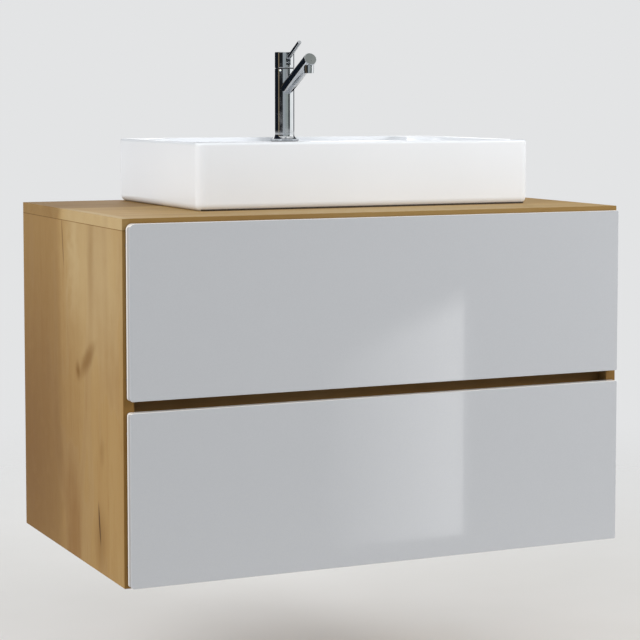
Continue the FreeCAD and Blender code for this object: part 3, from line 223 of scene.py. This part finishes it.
# Dowels: fluted beech pegs, turned and glued into the boards of carcass and drawers.
# Only their ends ever show, as small pale rounds with a fine fleck.
beech = finish("turned_beech", Roughness=0.6)
place = add(beech, "TexCoord").outputs["Object"]
fleck = add(beech, "TexNoise", {"Vector": place, "Scale": per_mm(1.5), "Detail": 2.0}).outputs[0]
tone = add(beech, "ValToRGB", {"Fac": fleck}, stops=[(0.35, "#C79F73"), (0.65, "#DDBC94")]).outputs[0]
wire(beech, Base_Color=tone)
dress(beech, "carcass_dowels", "upper_dowels", "lower_dowels")


# Back panel: 3 mm hardboard nailed to the rails behind the lower drawer.
# Pressed wood fibre, brown, with a faint screen pattern and a dull face.
hardboard = finish("hardboard", IOR=1.45)
place = add(hardboard, "TexCoord").outputs["Object"]
fibre = add(hardboard, "TexNoise", {
    "Vector": place, "Scale": per_mm(3), "Detail": 5.0, "Distortion": 1.2}).outputs[0]
blot = add(hardboard, "TexNoise", {"Vector": place, "Scale": per_mm(140), "Detail": 2.0}).outputs[0]
tone = add(hardboard, "ValToRGB", {"Fac": fibre}, stops=[
    (0.3, "#7E5E3E"), (0.7, "#A5825A"), (0.5, "#94714B")]).outputs[0]
mask = add(hardboard, "MapRange", {"Value": blot, 1: 0.35, 2: 0.7}).outputs[0]
tone = add(hardboard, "Mix", {0: mask, 6: tone, 7: colour("#DCCDBB")},
           data_type="RGBA", blend_type="MULTIPLY").outputs[2]
dull = add(hardboard, "MapRange", {"Value": fibre, 3: 0.5, 4: 0.72}).outputs[0]
relief = add(hardboard, "Bump", {"Height": fibre, "Strength": 0.3, "Distance": 0.0002}).outputs[0]
wire(hardboard, Base_Color=tone, Roughness=dull, Normal=relief)
dress(hardboard, "back_panel")


# Runners, hangers and wall plates: steel sheet and wire, pressed and bent, then zinc plated.
# The plating is a soft grey shine with a fine rolling grain and faint blue clouds.
zinc = finish("zinc_plated_steel", Metallic=1.0)
place = add(zinc, "TexCoord").outputs["Object"]
rolled = add(zinc, "Mapping", {
    "Vector": place, "Scale": (per_mm(1.2), per_mm(60), per_mm(1.2))}).outputs[0]
grain = add(zinc, "TexNoise", {"Vector": rolled, "Scale": 1.0, "Detail": 2.0}).outputs[0]
cloud = add(zinc, "TexNoise", {"Vector": place, "Scale": per_mm(35), "Detail": 3.0}).outputs[0]
tone = add(zinc, "ValToRGB", {"Fac": cloud}, stops=[
    (0.35, "#AEB4BC"), (0.68, "#C9C9C6"), (0.5, "#BDC0C4")]).outputs[0]
dull = add(zinc, "MapRange", {"Value": grain, 3: 0.26, 4: 0.44}).outputs[0]
relief = add(zinc, "Bump", {"Height": grain, "Strength": 0.12, "Distance": 0.0001}).outputs[0]
wire(zinc, Base_Color=tone, Roughness=dull, Normal=relief)
dress(zinc, "hanger_left", "hanger_right", "wall_plate_left", "wall_plate_right",
      "upper_runner_fixed", "upper_runner_mid", "upper_runner_drawer",
      "lower_runner_fixed", "lower_runner_mid", "lower_runner_drawer", "runner_screws",
      "tap_stud", "tap_washer", "tap_nut", "tap_pin", "tap_stem")


# Worktop: one 16 mm board with the same oak print, the grain along its length.
# It lies over both sides on dowels, its front and end edges banded and eased.
worktop_oak = oak_print("oak_melamine_worktop", LENGTHWISE, (0.9, 0.2, 0.6),
                        tones=("#9B7A48", "#AB8D5B", "#B89E6D"), marks=[
                            (PALE_END, (-0.40, -0.36, 0.062), (20, 190, 60), 0, 0.45),
                            # A long pale strip along the front of the worktop: painted light.
                            (PALE_AND_PAINTED_LIGHT, (0.05, -0.45, 0.07), (650, 160, 60), 0, 0.55),
                            # A darker band along the rear of the worktop's left half: painted shade.
                            (PAINTED_REAR_SHADE, (-0.33, 0.0, 0.07), (400, 215, 60), 0, 0.5)])
dress(worktop_oak, "worktop")


# Basin: slip-cast vitreous china, fired with a clear white glaze, bedded on the worktop.
# The glaze is smooth with a soft silky shine, over a body that is very slightly uneven.
china = finish("glazed_china", Roughness=0.3, IOR=1.5, Coat_Weight=0.3, Coat_Roughness=0.08,
               Coat_IOR=1.5)
place = add(china, "TexCoord").outputs["Object"]
cloud = add(china, "TexNoise", {"Vector": place, "Scale": per_mm(120), "Detail": 2.0}).outputs[0]
tone = add(china, "ValToRGB", {"Fac": cloud}, stops=[(0.3, "#E6E9ED"), (0.7, "#E8EBEF")]).outputs[0]
ripple = add(china, "TexNoise", {"Vector": place, "Scale": per_mm(45), "Detail": 1.0}).outputs[0]
relief = add(china, "Bump", {"Height": ripple, "Strength": 0.1, "Distance": 0.0002}).outputs[0]
wire(china, Base_Color=tone, Normal=relief)
dress(china, "basin")


# Basin seal: a bead of neutral silicone, run along the front below the rounded foot.
# Tooled back into the undercut, it ends in the corners; its near-black brown is painted shadow, a thin
# dark line under the foot.
def placed(name, blank, material):
    """Makes an object of a finished mesh."""
    mesh = bpy.data.meshes.new(name)
    blank.to_mesh(mesh)
    blank.free()
    mesh.materials.append(material)
    made = bpy.data.objects.new(name, mesh)
    bpy.context.scene.collection.objects.link(made)
    return made


BEAD_INSET, BEAD_WIDTH, BEAD_HEIGHT = 0.003, 0.005, 0.0026
BEAD_RETURN = 0.003
FOOT_CORNER = 0.014
# The bead's dark brown is painted shadow.
silicone_shadow = finish("silicone_painted_shadow", IOR=1.41)
place = add(silicone_shadow, "TexCoord").outputs["Object"]
smear = add(silicone_shadow, "TexNoise", {"Vector": place, "Scale": per_mm(5), "Detail": 2.0}).outputs[0]
tone = add(silicone_shadow, "ValToRGB", {"Fac": smear}, stops=[(0.35, "#2C2116"), (0.65, "#3D2F20")]).outputs[0]
dull = add(silicone_shadow, "MapRange", {"Value": smear, 3: 0.35, 4: 0.55}).outputs[0]
wire(silicone_shadow, Base_Color=tone, Roughness=dull)
foot_low, foot_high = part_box("basin")
bead = bmesh.new()
corners = [bead.verts.new((x, y, foot_low[2])) for x, y in (
    (foot_low[0] + BEAD_INSET, foot_low[1] + BEAD_INSET),
    (foot_high[0] - BEAD_INSET, foot_low[1] + BEAD_INSET),
    (foot_high[0] - BEAD_INSET, foot_high[1] - BEAD_INSET),
    (foot_low[0] + BEAD_INSET, foot_high[1] - BEAD_INSET))]
bead.faces.new(corners)
bmesh.ops.bevel(bead, geom=corners, offset=FOOT_CORNER - BEAD_INSET, offset_type="OFFSET",
                affect="VERTICES", segments=8, profile=0.5, material=-1)
inner = bead.faces[:]
bmesh.ops.inset_region(bead, faces=inner, thickness=BEAD_WIDTH, use_boundary=True,
                       use_even_offset=True)
bmesh.ops.delete(bead, geom=inner, context="FACES_KEEP_BOUNDARY")
raised = bmesh.ops.extrude_face_region(bead, geom=bead.faces[:])["geom"]
bmesh.ops.translate(bead, verts=[part for part in raised if isinstance(part, bmesh.types.BMVert)],
                    vec=(0.0, 0.0, BEAD_HEIGHT))
bmesh.ops.bisect_plane(bead, geom=bead.verts[:] + bead.edges[:] + bead.faces[:],
                       plane_co=(0.0, foot_low[1] + BEAD_INSET + BEAD_RETURN, 0.0),
                       plane_no=(0.0, 1.0, 0.0), clear_outer=True)
bmesh.ops.holes_fill(bead, edges=[white_band_and_highlight for white_band_and_highlight in bead.edges if white_band_and_highlight.is_boundary], sides=0)
bmesh.ops.recalc_face_normals(bead, faces=bead.faces)
seal = placed("basin_seal", bead, silicone_shadow)
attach(seal, "cabinet")


# Tap and drain: brass castings and turnings, polished and chrome plated.
# Mirror bright with a cool tint, and a trace of haze where hands and water dull it.
chrome = finish("chrome_plate", Metallic=1.0)
place = add(chrome, "TexCoord").outputs["Object"]
haze = add(chrome, "TexNoise", {"Vector": place, "Scale": per_mm(18), "Detail": 4.0}).outputs[0]
tone = add(chrome, "ValToRGB", {"Fac": haze}, stops=[(0.35, "#BFC2C5"), (0.65, "#C8CACC")]).outputs[0]
dull = add(chrome, "MapRange", {"Value": haze, 1: 0.4, 2: 0.75, 3: 0.04, 4: 0.12}).outputs[0]
wire(chrome, Base_Color=tone, Roughness=dull)
dress(chrome, "tap_column", "tap_spout", "tap_aerator", "tap_cap", "tap_lever",
      "drain_waste", "drain_plug")


# Seals: moulded nitrile rubber rings under the tap, in the joint under its cap, and on
# both sides of the drain hole. Dull black, with the bloom that rubber gets.
rubber = finish("nitrile_rubber", IOR=1.5)
place = add(rubber, "TexCoord").outputs["Object"]
bloom = add(rubber, "TexNoise", {"Vector": place, "Scale": per_mm(6), "Detail": 3.0}).outputs[0]
tone = add(rubber, "ValToRGB", {"Fac": bloom}, stops=[(0.35, "#1D1D1E"), (0.7, "#333334")]).outputs[0]
dull = add(rubber, "MapRange", {"Value": bloom, 3: 0.6, 4: 0.85}).outputs[0]
wire(rubber, Base_Color=tone, Roughness=dull)
dress(rubber, "drain_seals", "tap_gasket")


def lathe(name, section, axis, material):
    """A turned piece: its section, as radius and height, spun once round an upright axis."""
    blank = bmesh.new()
    line = [blank.verts.new((axis[0] + radius, axis[1], height)) for radius, height in section]
    edges = [blank.edges.new(pair) for pair in zip(line, line[1:] + line[:1])]
    bmesh.ops.spin(blank, geom=line + edges, cent=(*axis, 0.0), axis=(0.0, 0.0, 1.0),
                   angle=math.tau, steps=64, use_merge=True)
    bmesh.ops.remove_doubles(blank, verts=blank.verts, dist=0.000001)
    bmesh.ops.recalc_face_normals(blank, faces=blank.faces)
    return placed(name, blank, material)


TAP_AXIS = (0.035, -0.0415)
COLUMN_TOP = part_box("tap_column")[1][2]
GLIDE_BORE, GLIDE_RADIUS, GLIDE_EASE, GLIDE_PLAY = 0.0110, 0.0153, 0.0003, 0.0001
ring_low = COLUMN_TOP + GLIDE_PLAY
ring_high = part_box("tap_cap")[0][2] - GLIDE_PLAY
glide_ring = lathe("tap_glide_ring", [
    (GLIDE_BORE, ring_low), (GLIDE_RADIUS - GLIDE_EASE, ring_low),
    (GLIDE_RADIUS, ring_low + GLIDE_EASE), (GLIDE_RADIUS, ring_high - GLIDE_EASE),
    (GLIDE_RADIUS - GLIDE_EASE, ring_high), (GLIDE_BORE, ring_high)], TAP_AXIS, rubber)
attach(glide_ring, "cabinet")


# Drain nut and lock ring: turned brass, left bare where they stay out of sight.
# Yellow metal with fine turning marks and a little tarnish.
brass = finish("turned_brass", Metallic=1.0)
place = add(brass, "TexCoord").outputs["Object"]
tarnish = add(brass, "TexNoise", {"Vector": place, "Scale": per_mm(9), "Detail": 4.0}).outputs[0]
tone = add(brass, "ValToRGB", {"Fac": tarnish}, stops=[(0.35, "#A88442"), (0.65, "#C9A55F")]).outputs[0]
marks = add(brass, "Mapping", {
    "Vector": place, "Scale": (per_mm(40), per_mm(40), per_mm(0.6))}).outputs[0]
marks = add(brass, "TexNoise", {"Vector": marks, "Scale": 1.0}).outputs[0]
dull = add(brass, "MapRange", {"Value": marks, 3: 0.2, 4: 0.38}).outputs[0]
wire(brass, Base_Color=tone, Roughness=dull)
dress(brass, "drain_nut", "tap_lock_ring")


# Bottle trap: polypropylene mouldings with hand-tight nuts, from the waste to the wall pipe.
# White, waxy plastic that lets a little light in, with a faint moulded grain.
white_pp = finish("white_polypropylene", IOR=1.49, Subsurface_Weight=0.15, Subsurface_Scale=0.004)
place = add(white_pp, "TexCoord").outputs["Object"]
grain = add(white_pp, "TexNoise", {"Vector": place, "Scale": per_mm(1.5), "Detail": 2.0}).outputs[0]
cloud = add(white_pp, "TexNoise", {"Vector": place, "Scale": per_mm(60), "Detail": 2.0}).outputs[0]
tone = add(white_pp, "ValToRGB", {"Fac": cloud}, stops=[(0.35, "#E3E2DD"), (0.65, "#EBEAE6")]).outputs[0]
dull = add(white_pp, "MapRange", {"Value": grain, 3: 0.3, 4: 0.46}).outputs[0]
relief = add(white_pp, "Bump", {"Height": grain, "Strength": 0.08, "Distance": 0.0001}).outputs[0]
wire(white_pp, Base_Color=tone, Roughness=dull, Normal=relief)
dress(white_pp, "trap_nut", "trap_tube", "trap_head", "trap_cup", "trap_outlet_nut", "trap_outlet",
      "tap_cartridge")


RIB_PROUD, RIB_WIDE, RIB_EASE = 0.0012, 0.003, 0.0005
RIB_MARGIN = 0.003


def grip_ribs(name, node, count, upright):
    """Ribs for the fingers round a turned node, as long as the node less a margin at both ends."""
    low, high = [Vector(corner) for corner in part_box(node)]
    middle = (low + high) / 2
    run = (high - low)[2 if upright else 1] - 2 * RIB_MARGIN
    radius = (high - low)[0] / 2
    size = (2 * RIB_PROUD, RIB_WIDE, run) if upright else (2 * RIB_PROUD, run, RIB_WIDE)
    ribs = bmesh.new()
    bmesh.ops.create_cube(ribs, size=1.0, matrix=Matrix.LocRotScale(
        middle + Vector((radius, 0.0, 0.0)), None, Vector(size)))
    bmesh.ops.bevel(ribs, geom=ribs.edges[:], offset=RIB_EASE, affect="EDGES", segments=2,
                    profile=0.5, material=-1)
    bmesh.ops.spin(ribs, geom=ribs.verts[:] + ribs.edges[:] + ribs.faces[:], cent=middle,
                   axis=(0.0, 0.0, 1.0) if upright else (0.0, 1.0, 0.0),
                   angle=math.tau * (count - 1) / count, steps=count - 1, use_duplicate=True)
    made = placed(name, ribs, white_pp)
    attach(made, "cabinet")


grip_ribs("trap_nut_ribs", "trap_nut", 20, True)
grip_ribs("trap_cup_ribs", "trap_cup", 24, True)
grip_ribs("trap_outlet_nut_ribs", "trap_outlet_nut", 20, False)


# Index button: a small white plastic button, moulded and pressed into the tap column.
# It sits just under the cap and marks the middle of the lever's turn.
INDEX_RADIUS, INDEX_FLAT, INDEX_DROP = 0.0019, 0.4, 0.0024
INDEX_BEARING = math.radians(-50)
COLUMN_RADIUS = 0.016
outward = Vector((math.sin(INDEX_BEARING), -math.cos(INDEX_BEARING), 0.0))
button = bmesh.new()
bmesh.ops.create_uvsphere(button, u_segments=24, v_segments=12, radius=INDEX_RADIUS)
bmesh.ops.scale(button, verts=button.verts, vec=(1.0, INDEX_FLAT, 1.0))
bmesh.ops.rotate(button, verts=button.verts, matrix=Matrix.Rotation(INDEX_BEARING, 3, "Z"))
bmesh.ops.translate(button, verts=button.verts, vec=Vector((*TAP_AXIS, COLUMN_TOP - INDEX_DROP))
                    + outward * COLUMN_RADIUS)
for patch in button.faces:
    patch.smooth = True
index_button = placed("tap_index_button", button, white_pp)
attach(index_button, "cabinet")


# Drawer boxes: 12 mm chipboard sides and backs and a 6 mm bottom slid into grooves.
# Grey melamine with a fine linen press; the weave is drawn at 2.4 mm so that it shows.
melamine = finish("grey_linen_melamine", IOR=1.5)
place = add(melamine, "TexCoord").outputs["Object"]
weave = []
for stretch in ((2.4, 2.4, 60), (60, 60, 2.4), (2.4, 60, 2.4)):
    thread = add(melamine, "Mapping", {
        "Vector": place, "Scale": [per_mm(size) for size in stretch]}).outputs[0]
    weave.append(add(melamine, "TexNoise", {"Vector": thread, "Scale": 1.0, "Detail": 2.0}).outputs[0])
cross = add(melamine, "Math", {0: weave[0], 1: weave[1]}, operation="ADD").outputs[0]
cross = add(melamine, "Math", {0: cross, 1: weave[2]}, operation="ADD").outputs[0]
cross = add(melamine, "MapRange", {"Value": cross, 1: 1.15, 2: 1.85}).outputs[0]
tone = add(melamine, "ValToRGB", {"Fac": cross}, stops=[(0.2, "#AEAFAF"), (0.8, "#BEBEBD")]).outputs[0]
dull = add(melamine, "MapRange", {"Value": cross, 3: 0.42, 4: 0.58}).outputs[0]
relief = add(melamine, "Bump", {"Height": cross, "Strength": 0.15, "Distance": 0.0001}).outputs[0]
wire(melamine, Base_Color=tone, Roughness=dull, Normal=relief)
dress(melamine, "upper_side_left", "upper_side_right", "upper_back_left", "upper_back_right",
      "upper_bottom", "lower_side_left", "lower_side_right", "lower_back", "lower_bottom")


# Trap liner: moulded ABS wall that keeps the upper drawer's contents off the trap.
# Mid grey with a fine leather grain from the mould.
abs_grey = finish("grained_grey_abs", IOR=1.53)
place = add(abs_grey, "TexCoord").outputs["Object"]
pebble = add(abs_grey, "TexVoronoi", {"Vector": place, "Scale": per_mm(1.8)}).outputs[0]
cloud = add(abs_grey, "TexNoise", {"Vector": place, "Scale": per_mm(50), "Detail": 2.0}).outputs[0]
tone = add(abs_grey, "ValToRGB", {"Fac": cloud}, stops=[(0.35, "#989A9B"), (0.65, "#A4A5A6")]).outputs[0]
dull = add(abs_grey, "MapRange", {"Value": pebble, 3: 0.38, 4: 0.55}).outputs[0]
relief = add(abs_grey, "Bump", {"Height": pebble, "Strength": 0.2, "Distance": 0.0002},
             invert=True).outputs[0]
wire(abs_grey, Base_Color=tone, Roughness=dull, Normal=relief)
dress(abs_grey, "upper_liner")


# Cover caps: moulded discs pressed over the front's fittings inside both drawers.
# White plastic, two on each side board, just behind the front.
CAP_RADIUS, CAP_THICK = 0.0085, 0.0012
CAP_BACK, CAP_INSET = 0.026, 0.040
for drawer in ("upper", "lower"):
    discs = bmesh.new()
    for hand, inward in (("left", 1.0), ("right", -1.0)):
        low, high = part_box(drawer + "_side_" + hand)
        inner_face = high[0] if hand == "left" else low[0]
        for level in (low[2] + CAP_INSET, high[2] - CAP_INSET):
            seat = Matrix.Translation((inner_face + inward * CAP_THICK / 2, low[1] + CAP_BACK, level))
            bmesh.ops.create_cone(discs, cap_ends=True, segments=40, radius1=CAP_RADIUS,
                                  radius2=CAP_RADIUS - CAP_THICK, depth=CAP_THICK,
                                  matrix=seat @ Matrix.Rotation(inward * math.pi / 2, 4, "Y"))
    caps = placed(drawer + "_cover_caps", discs, white_pp)
    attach(caps, drawer + "_drawer")


# Drawer fronts: 13 mm fibreboard, the face in high-gloss grey lacquer, doweled to the boxes.
# The face mirrors the room softly. Top and bottom edges and the back are white, and the white edges are
# also a painted highlight; the lacquer runs on round the side edges, so only a narrow white line, a
# painted highlight, is left at the back of those.
FACE = -0.494
SIDE_EDGE = 0.3942
WRAP, WRAP_FADE = 0.0085, 0.0008
WHITE_START, WHITE_FADE = 0.0002, 0.0004
lacquer = finish("gloss_lacquer_grey", Roughness=0.07, IOR=1.5, Coat_Weight=0.5, Coat_Roughness=0.02)
place = add(lacquer, "TexCoord").outputs["Object"]
axes = add(lacquer, "SeparateXYZ", {"Vector": place}).outputs
sideways = add(lacquer, "Math", {0: axes["X"]}, operation="ABSOLUTE").outputs[0]
start = add(lacquer, "MapRange", {"Value": sideways, 1: SIDE_EDGE - WRAP_FADE, 2: SIDE_EDGE,
                                  3: FACE + WHITE_START, 4: FACE + WRAP}).outputs[0]
# Where the white shows: partly white edging, partly a painted highlight along the edges.
white_band_and_highlight = add(lacquer, "Math", {0: axes["Y"], 1: start}, operation="SUBTRACT").outputs[0]
white_band_and_highlight = add(lacquer, "MapRange", {"Value": white_band_and_highlight, 1: 0.0, 2: WHITE_FADE}).outputs[0]
cloud = add(lacquer, "TexNoise", {"Vector": place, "Scale": per_mm(0.8), "Detail": 1.0}).outputs[0]
tone = add(lacquer, "ValToRGB", {"Fac": cloud}, stops=[(0.3, "#B0B2B6"), (0.7, "#B4B6B9")]).outputs[0]
tone = add(lacquer, "Mix", {0: white_band_and_highlight, 6: tone, 7: colour("#FAF8F4")}, data_type="RGBA").outputs[2]
peel = add(lacquer, "TexNoise", {"Vector": place, "Scale": per_mm(7), "Detail": 1.0}).outputs[0]
relief = add(lacquer, "Bump", {"Height": peel, "Strength": 0.05, "Distance": 0.0001}).outputs[0]
wire(lacquer, Base_Color=tone, Normal=relief)
dress(lacquer, "upper_front", "lower_front")


# Bumpers: soft polyurethane buttons, punched from sheet, stuck on the carcass edges.
# The fronts close on them without a knock; smoky brown, so they don't show against the oak.
bumper = finish("smoked_polyurethane", IOR=1.48, Transmission_Weight=0.2)
place = add(bumper, "TexCoord").outputs["Object"]
cloud = add(bumper, "TexNoise", {"Vector": place, "Scale": per_mm(3)}).outputs[0]
tone = add(bumper, "ValToRGB", {"Fac": cloud}, stops=[(0.3, "#5A452C"), (0.7, "#6B5438")]).outputs[0]
dull = add(bumper, "MapRange", {"Value": cloud, 3: 0.2, 4: 0.35}).outputs[0]
wire(bumper, Base_Color=tone, Roughness=dull)
dress(bumper, "bumpers")


# Floor: a pale matt disc of studio paper, a hand below the hung cabinet.
# It takes the soft shadow of the object and fades into the background further out.
FLOOR_LEVEL = -0.69
FLOOR_RADIUS = 7.0
FLOOR_FRONT = -0.25
FADE_START, FADE_END = 0.6, 2.8
paper = finish("pale_paper", Roughness=0.85)
place = add(paper, "TexCoord").outputs["Object"]
tooth = add(paper, "TexNoise", {"Vector": place, "Scale": per_mm(400), "Detail": 3.0}).outputs[0]
tone = add(paper, "ValToRGB", {"Fac": tooth}, stops=[(0.3, "#E6E5E2"), (0.7, "#EBEAE8")]).outputs[0]
centred = add(paper, "Mapping", {
    "Vector": place, "Location": (0.0, -FLOOR_FRONT, -FLOOR_LEVEL)}).outputs[0]
reach = add(paper, "VectorMath", {0: centred}, operation="LENGTH").outputs["Value"]
fade = add(paper, "MapRange", {"Value": reach, 1: FADE_START, 2: FADE_END, 3: 1.0, 4: 0.0},
           interpolation_type="SMOOTHSTEP").outputs[0]
wire(paper, Base_Color=tone, Alpha=fade)
ground = bmesh.new()
bmesh.ops.create_circle(ground, cap_ends=True, radius=FLOOR_RADIUS, segments=96)
bmesh.ops.translate(ground, verts=ground.verts, vec=(0.0, FLOOR_FRONT, FLOOR_LEVEL))
floor = placed("floor", ground, paper)


# Reflection panels: a bright card that the glossy fronts mirror, and a ring of dark and
# bright cards at the height of the tap, which give the chrome its bands.
# Only mirrored rays see them, so they neither light nor shade the object.
def post(foot, tall):
    """An upright edge, from which a card is drawn out or spun."""
    card = bmesh.new()
    card.edges.new([card.verts.new((*foot[:2], foot[2] + rise)) for rise in (0.0, tall)])
    return card


def widened(card, wide):
    """Draws an upright edge out sideways into a flat card."""
    drawn = bmesh.ops.extrude_edge_only(card, edges=card.edges)["geom"]
    bmesh.ops.translate(card, verts=[part for part in drawn if isinstance(part, bmesh.types.BMVert)],
                        vec=(wide, 0.0, 0.0))
    return card


def panel(name, card, shade):
    """Stands a card that only mirrored rays see; shade gives its light and where it covers."""
    sheet = bpy.data.materials.new(name)
    sheet.use_nodes = True
    sheet.node_tree.nodes.remove(sheet.node_tree.nodes["Principled BSDF"])
    mirrored = add(sheet, "LightPath").outputs["Is Glossy Ray"]
    light, cover = shade(sheet)
    clear = add(sheet, "BsdfTransparent").outputs[0]
    glow = add(sheet, "Emission", light).outputs[0]
    behind = add(sheet, "MixShader", {0: cover, 1: clear, 2: glow}).outputs[0]
    shown = add(sheet, "MixShader", {0: mirrored, 1: clear, 2: behind}).outputs[0]
    sheet.node_tree.links.new(shown, sheet.node_tree.nodes["Material Output"].inputs["Surface"])
    stand = placed(name, card, sheet)


BRIGHT_Y = -1.6
BRIGHT_LEFT, BRIGHT_RIGHT = 0.40, 0.732
BRIGHT_TOP_LEFT, BRIGHT_TOP_RIGHT = -0.319, -0.186
BRIGHT_TALL = 0.6
BRIGHT_SOFT = 0.03


def bright_light(sheet):
    """White, growing to the right, below a soft sloping top."""
    place = add(sheet, "TexCoord").outputs["Object"]
    axes = add(sheet, "SeparateXYZ", {"Vector": place}).outputs
    rise = add(sheet, "MapRange", {"Value": axes["X"], 1: BRIGHT_LEFT, 2: BRIGHT_RIGHT}).outputs[0]
    head = add(sheet, "MapRange", {"Value": axes["X"], 1: BRIGHT_LEFT, 2: BRIGHT_RIGHT,
                                   3: BRIGHT_TOP_LEFT, 4: BRIGHT_TOP_RIGHT}).outputs[0]
    under = add(sheet, "Math", {0: head, 1: axes["Z"]}, operation="SUBTRACT").outputs[0]
    soft = add(sheet, "MapRange", {"Value": under, 1: -BRIGHT_SOFT, 2: BRIGHT_SOFT}).outputs[0]
    cover = add(sheet, "Math", {0: rise, 1: soft}, operation="MULTIPLY").outputs[0]
    return {"Color": colour("#FFFFFF"), "Strength": 2.75}, cover


bright = post((BRIGHT_LEFT, BRIGHT_Y, FLOOR_LEVEL), BRIGHT_TALL)
panel("bright_card", widened(bright, BRIGHT_RIGHT - BRIGHT_LEFT), bright_light)

# The ring is open behind the tap, to the right, so that the rim of the basin mirrors only white.
RING_RADIUS = 1.5
RING_FOOT, RING_TALL = 0.15, 1.0
RING_START, RING_SWEEP = 135, 320
# Bearing from the tap in degrees, growing from straight ahead to the right, and the tone there.
RING_TONES = ((-130, "#26282A"), (-104, "#1E1D1C"), (-101, "#8F7F66"), (-92, "#8F7F66"),
              (-89, "#1B1B1C"), (-47, "#202326"), (-40, "#9EA5AA"), (18, "#8F9692"),
              (25, "#22262A"), (40, "#23282B"), (47, "#F4F7F6"), (100, "#FFFFFF"),
              (112, "#2A3036"))


def ring_light(sheet):
    """Bright to the right of the tap, grey towards the viewer, dark between and on the left."""
    place = add(sheet, "TexCoord").outputs["Object"]
    centred = add(sheet, "VectorMath", {0: place, 1: (*TAP_AXIS, 0.0)}, operation="SUBTRACT").outputs[0]
    axes = add(sheet, "SeparateXYZ", {"Vector": centred}).outputs
    back = add(sheet, "Math", {0: axes["Y"], 1: -1.0}, operation="MULTIPLY").outputs[0]
    bearing = add(sheet, "Math", {0: axes["X"], 1: back}, operation="ARCTAN2").outputs[0]
    share = add(sheet, "MapRange", {"Value": bearing, 1: -math.pi, 2: math.pi}).outputs[0]
    stops = [((degrees + 180) / 360, tone) for degrees, tone in RING_TONES]
    tone = add(sheet, "ValToRGB", {"Fac": share}, stops=stops).outputs[0]
    return {"Color": tone, "Strength": 1.4}, 1.0


ring = post((TAP_AXIS[0] + RING_RADIUS * math.sin(math.radians(RING_START)),
             TAP_AXIS[1] - RING_RADIUS * math.cos(math.radians(RING_START)), RING_FOOT), RING_TALL)
bmesh.ops.spin(ring, geom=ring.verts[:] + ring.edges[:], cent=(*TAP_AXIS, 0.0), axis=(0.0, 0.0, 1.0),
               angle=-math.radians(RING_SWEEP), steps=96)
panel("tap_ring", ring, ring_light)

# A dark card close behind the tap, above the line in which the rim would mirror it,
# and a grey one, high in front on the right, for the flat end of the spout.
SPOUT_CARD_FOOT = (-0.16, -0.003, 0.18)
SPOUT_CARD_TALL, SPOUT_CARD_WIDE = 0.23, 0.26
END_CARD_FOOT = (0.6, -1.2, 1.45)
END_CARD_TALL, END_CARD_WIDE = 0.65, 0.5


def plain_light(tone):
    """The same tone all over a card."""
    def light(sheet):
        return {"Color": colour(tone), "Strength": 1.0}, 1.0
    return light


spout_card = post(SPOUT_CARD_FOOT, SPOUT_CARD_TALL)
panel("spout_card", widened(spout_card, SPOUT_CARD_WIDE), plain_light("#1A2029"))
end_card = post(END_CARD_FOOT, END_CARD_TALL)
panel("spout_end_card", widened(end_card, END_CARD_WIDE), plain_light("#A6AAA6"))


# Studio: an even pale surround, and broad soft lamps that stay out of sight.
# The camera stands at the left, a little above the worktop.
world = bpy.data.worlds.new("studio")
bpy.context.scene.world = world
world.use_nodes = True
path = add(world, "LightPath")
seen = add(world, "Math", {0: path.outputs["Is Camera Ray"], 1: path.outputs["Is Glossy Ray"]},
           operation="MAXIMUM").outputs[0]
seen = add(world, "Math", {0: seen, 1: path.outputs["Is Transmission Ray"]},
           operation="MAXIMUM").outputs[0]
surround = world.node_tree.nodes["Background"]
surround.inputs["Color"].default_value = colour("#F4F5F6")
LIGHT_STRENGTH, SEEN_STRENGTH = 0.5, 0.85
world.node_tree.links.new(
    add(world, "MapRange", {"Value": seen, 3: LIGHT_STRENGTH, 4: SEEN_STRENGTH}).outputs[0],
    surround.inputs["Strength"])

TARGET = Vector((0.0, -0.25, -0.1))
for name, spot, width, height, watts in (
        ("key", (-2.7, -1.0, 1.25), 1.8, 1.4, 58),
        ("fill", (1.7, -1.9, 0.85), 1.6, 1.0, 37),
        ("overhead", (0.2, -0.6, 2.7), 2.2, 1.8, 5),
        ("rear", (0.6, 2.6, 1.5), 2.2, 1.6, 20)):
    lamp = bpy.data.lights.new(name, "AREA")
    lamp.shape = "RECTANGLE"
    lamp.size = width
    lamp.size_y = height
    lamp.energy = watts
    holder = bpy.data.objects.new(name, lamp)
    holder.location = spot
    holder.rotation_euler = (TARGET - Vector(spot)).to_track_quat("-Z", "Y").to_euler()
    holder.visible_camera = False
    bpy.context.scene.collection.objects.link(holder)

EYE = (-1.3056, -3.1132, 0.2392)
EYE_TILT, EYE_TURN = 85.817, -24.579
camera = bpy.data.cameras.new("camera")
camera.lens = 113.79
camera.sensor_width = 36.0
camera.shift_y = -0.12
eye = bpy.data.objects.new("camera", camera)
eye.location = EYE
eye.rotation_euler = (math.radians(EYE_TILT), 0.0, math.radians(EYE_TURN))
bpy.context.scene.collection.objects.link(eye)
bpy.context.scene.camera = eye
bpy.context.scene.view_settings.view_transform = "Standard"
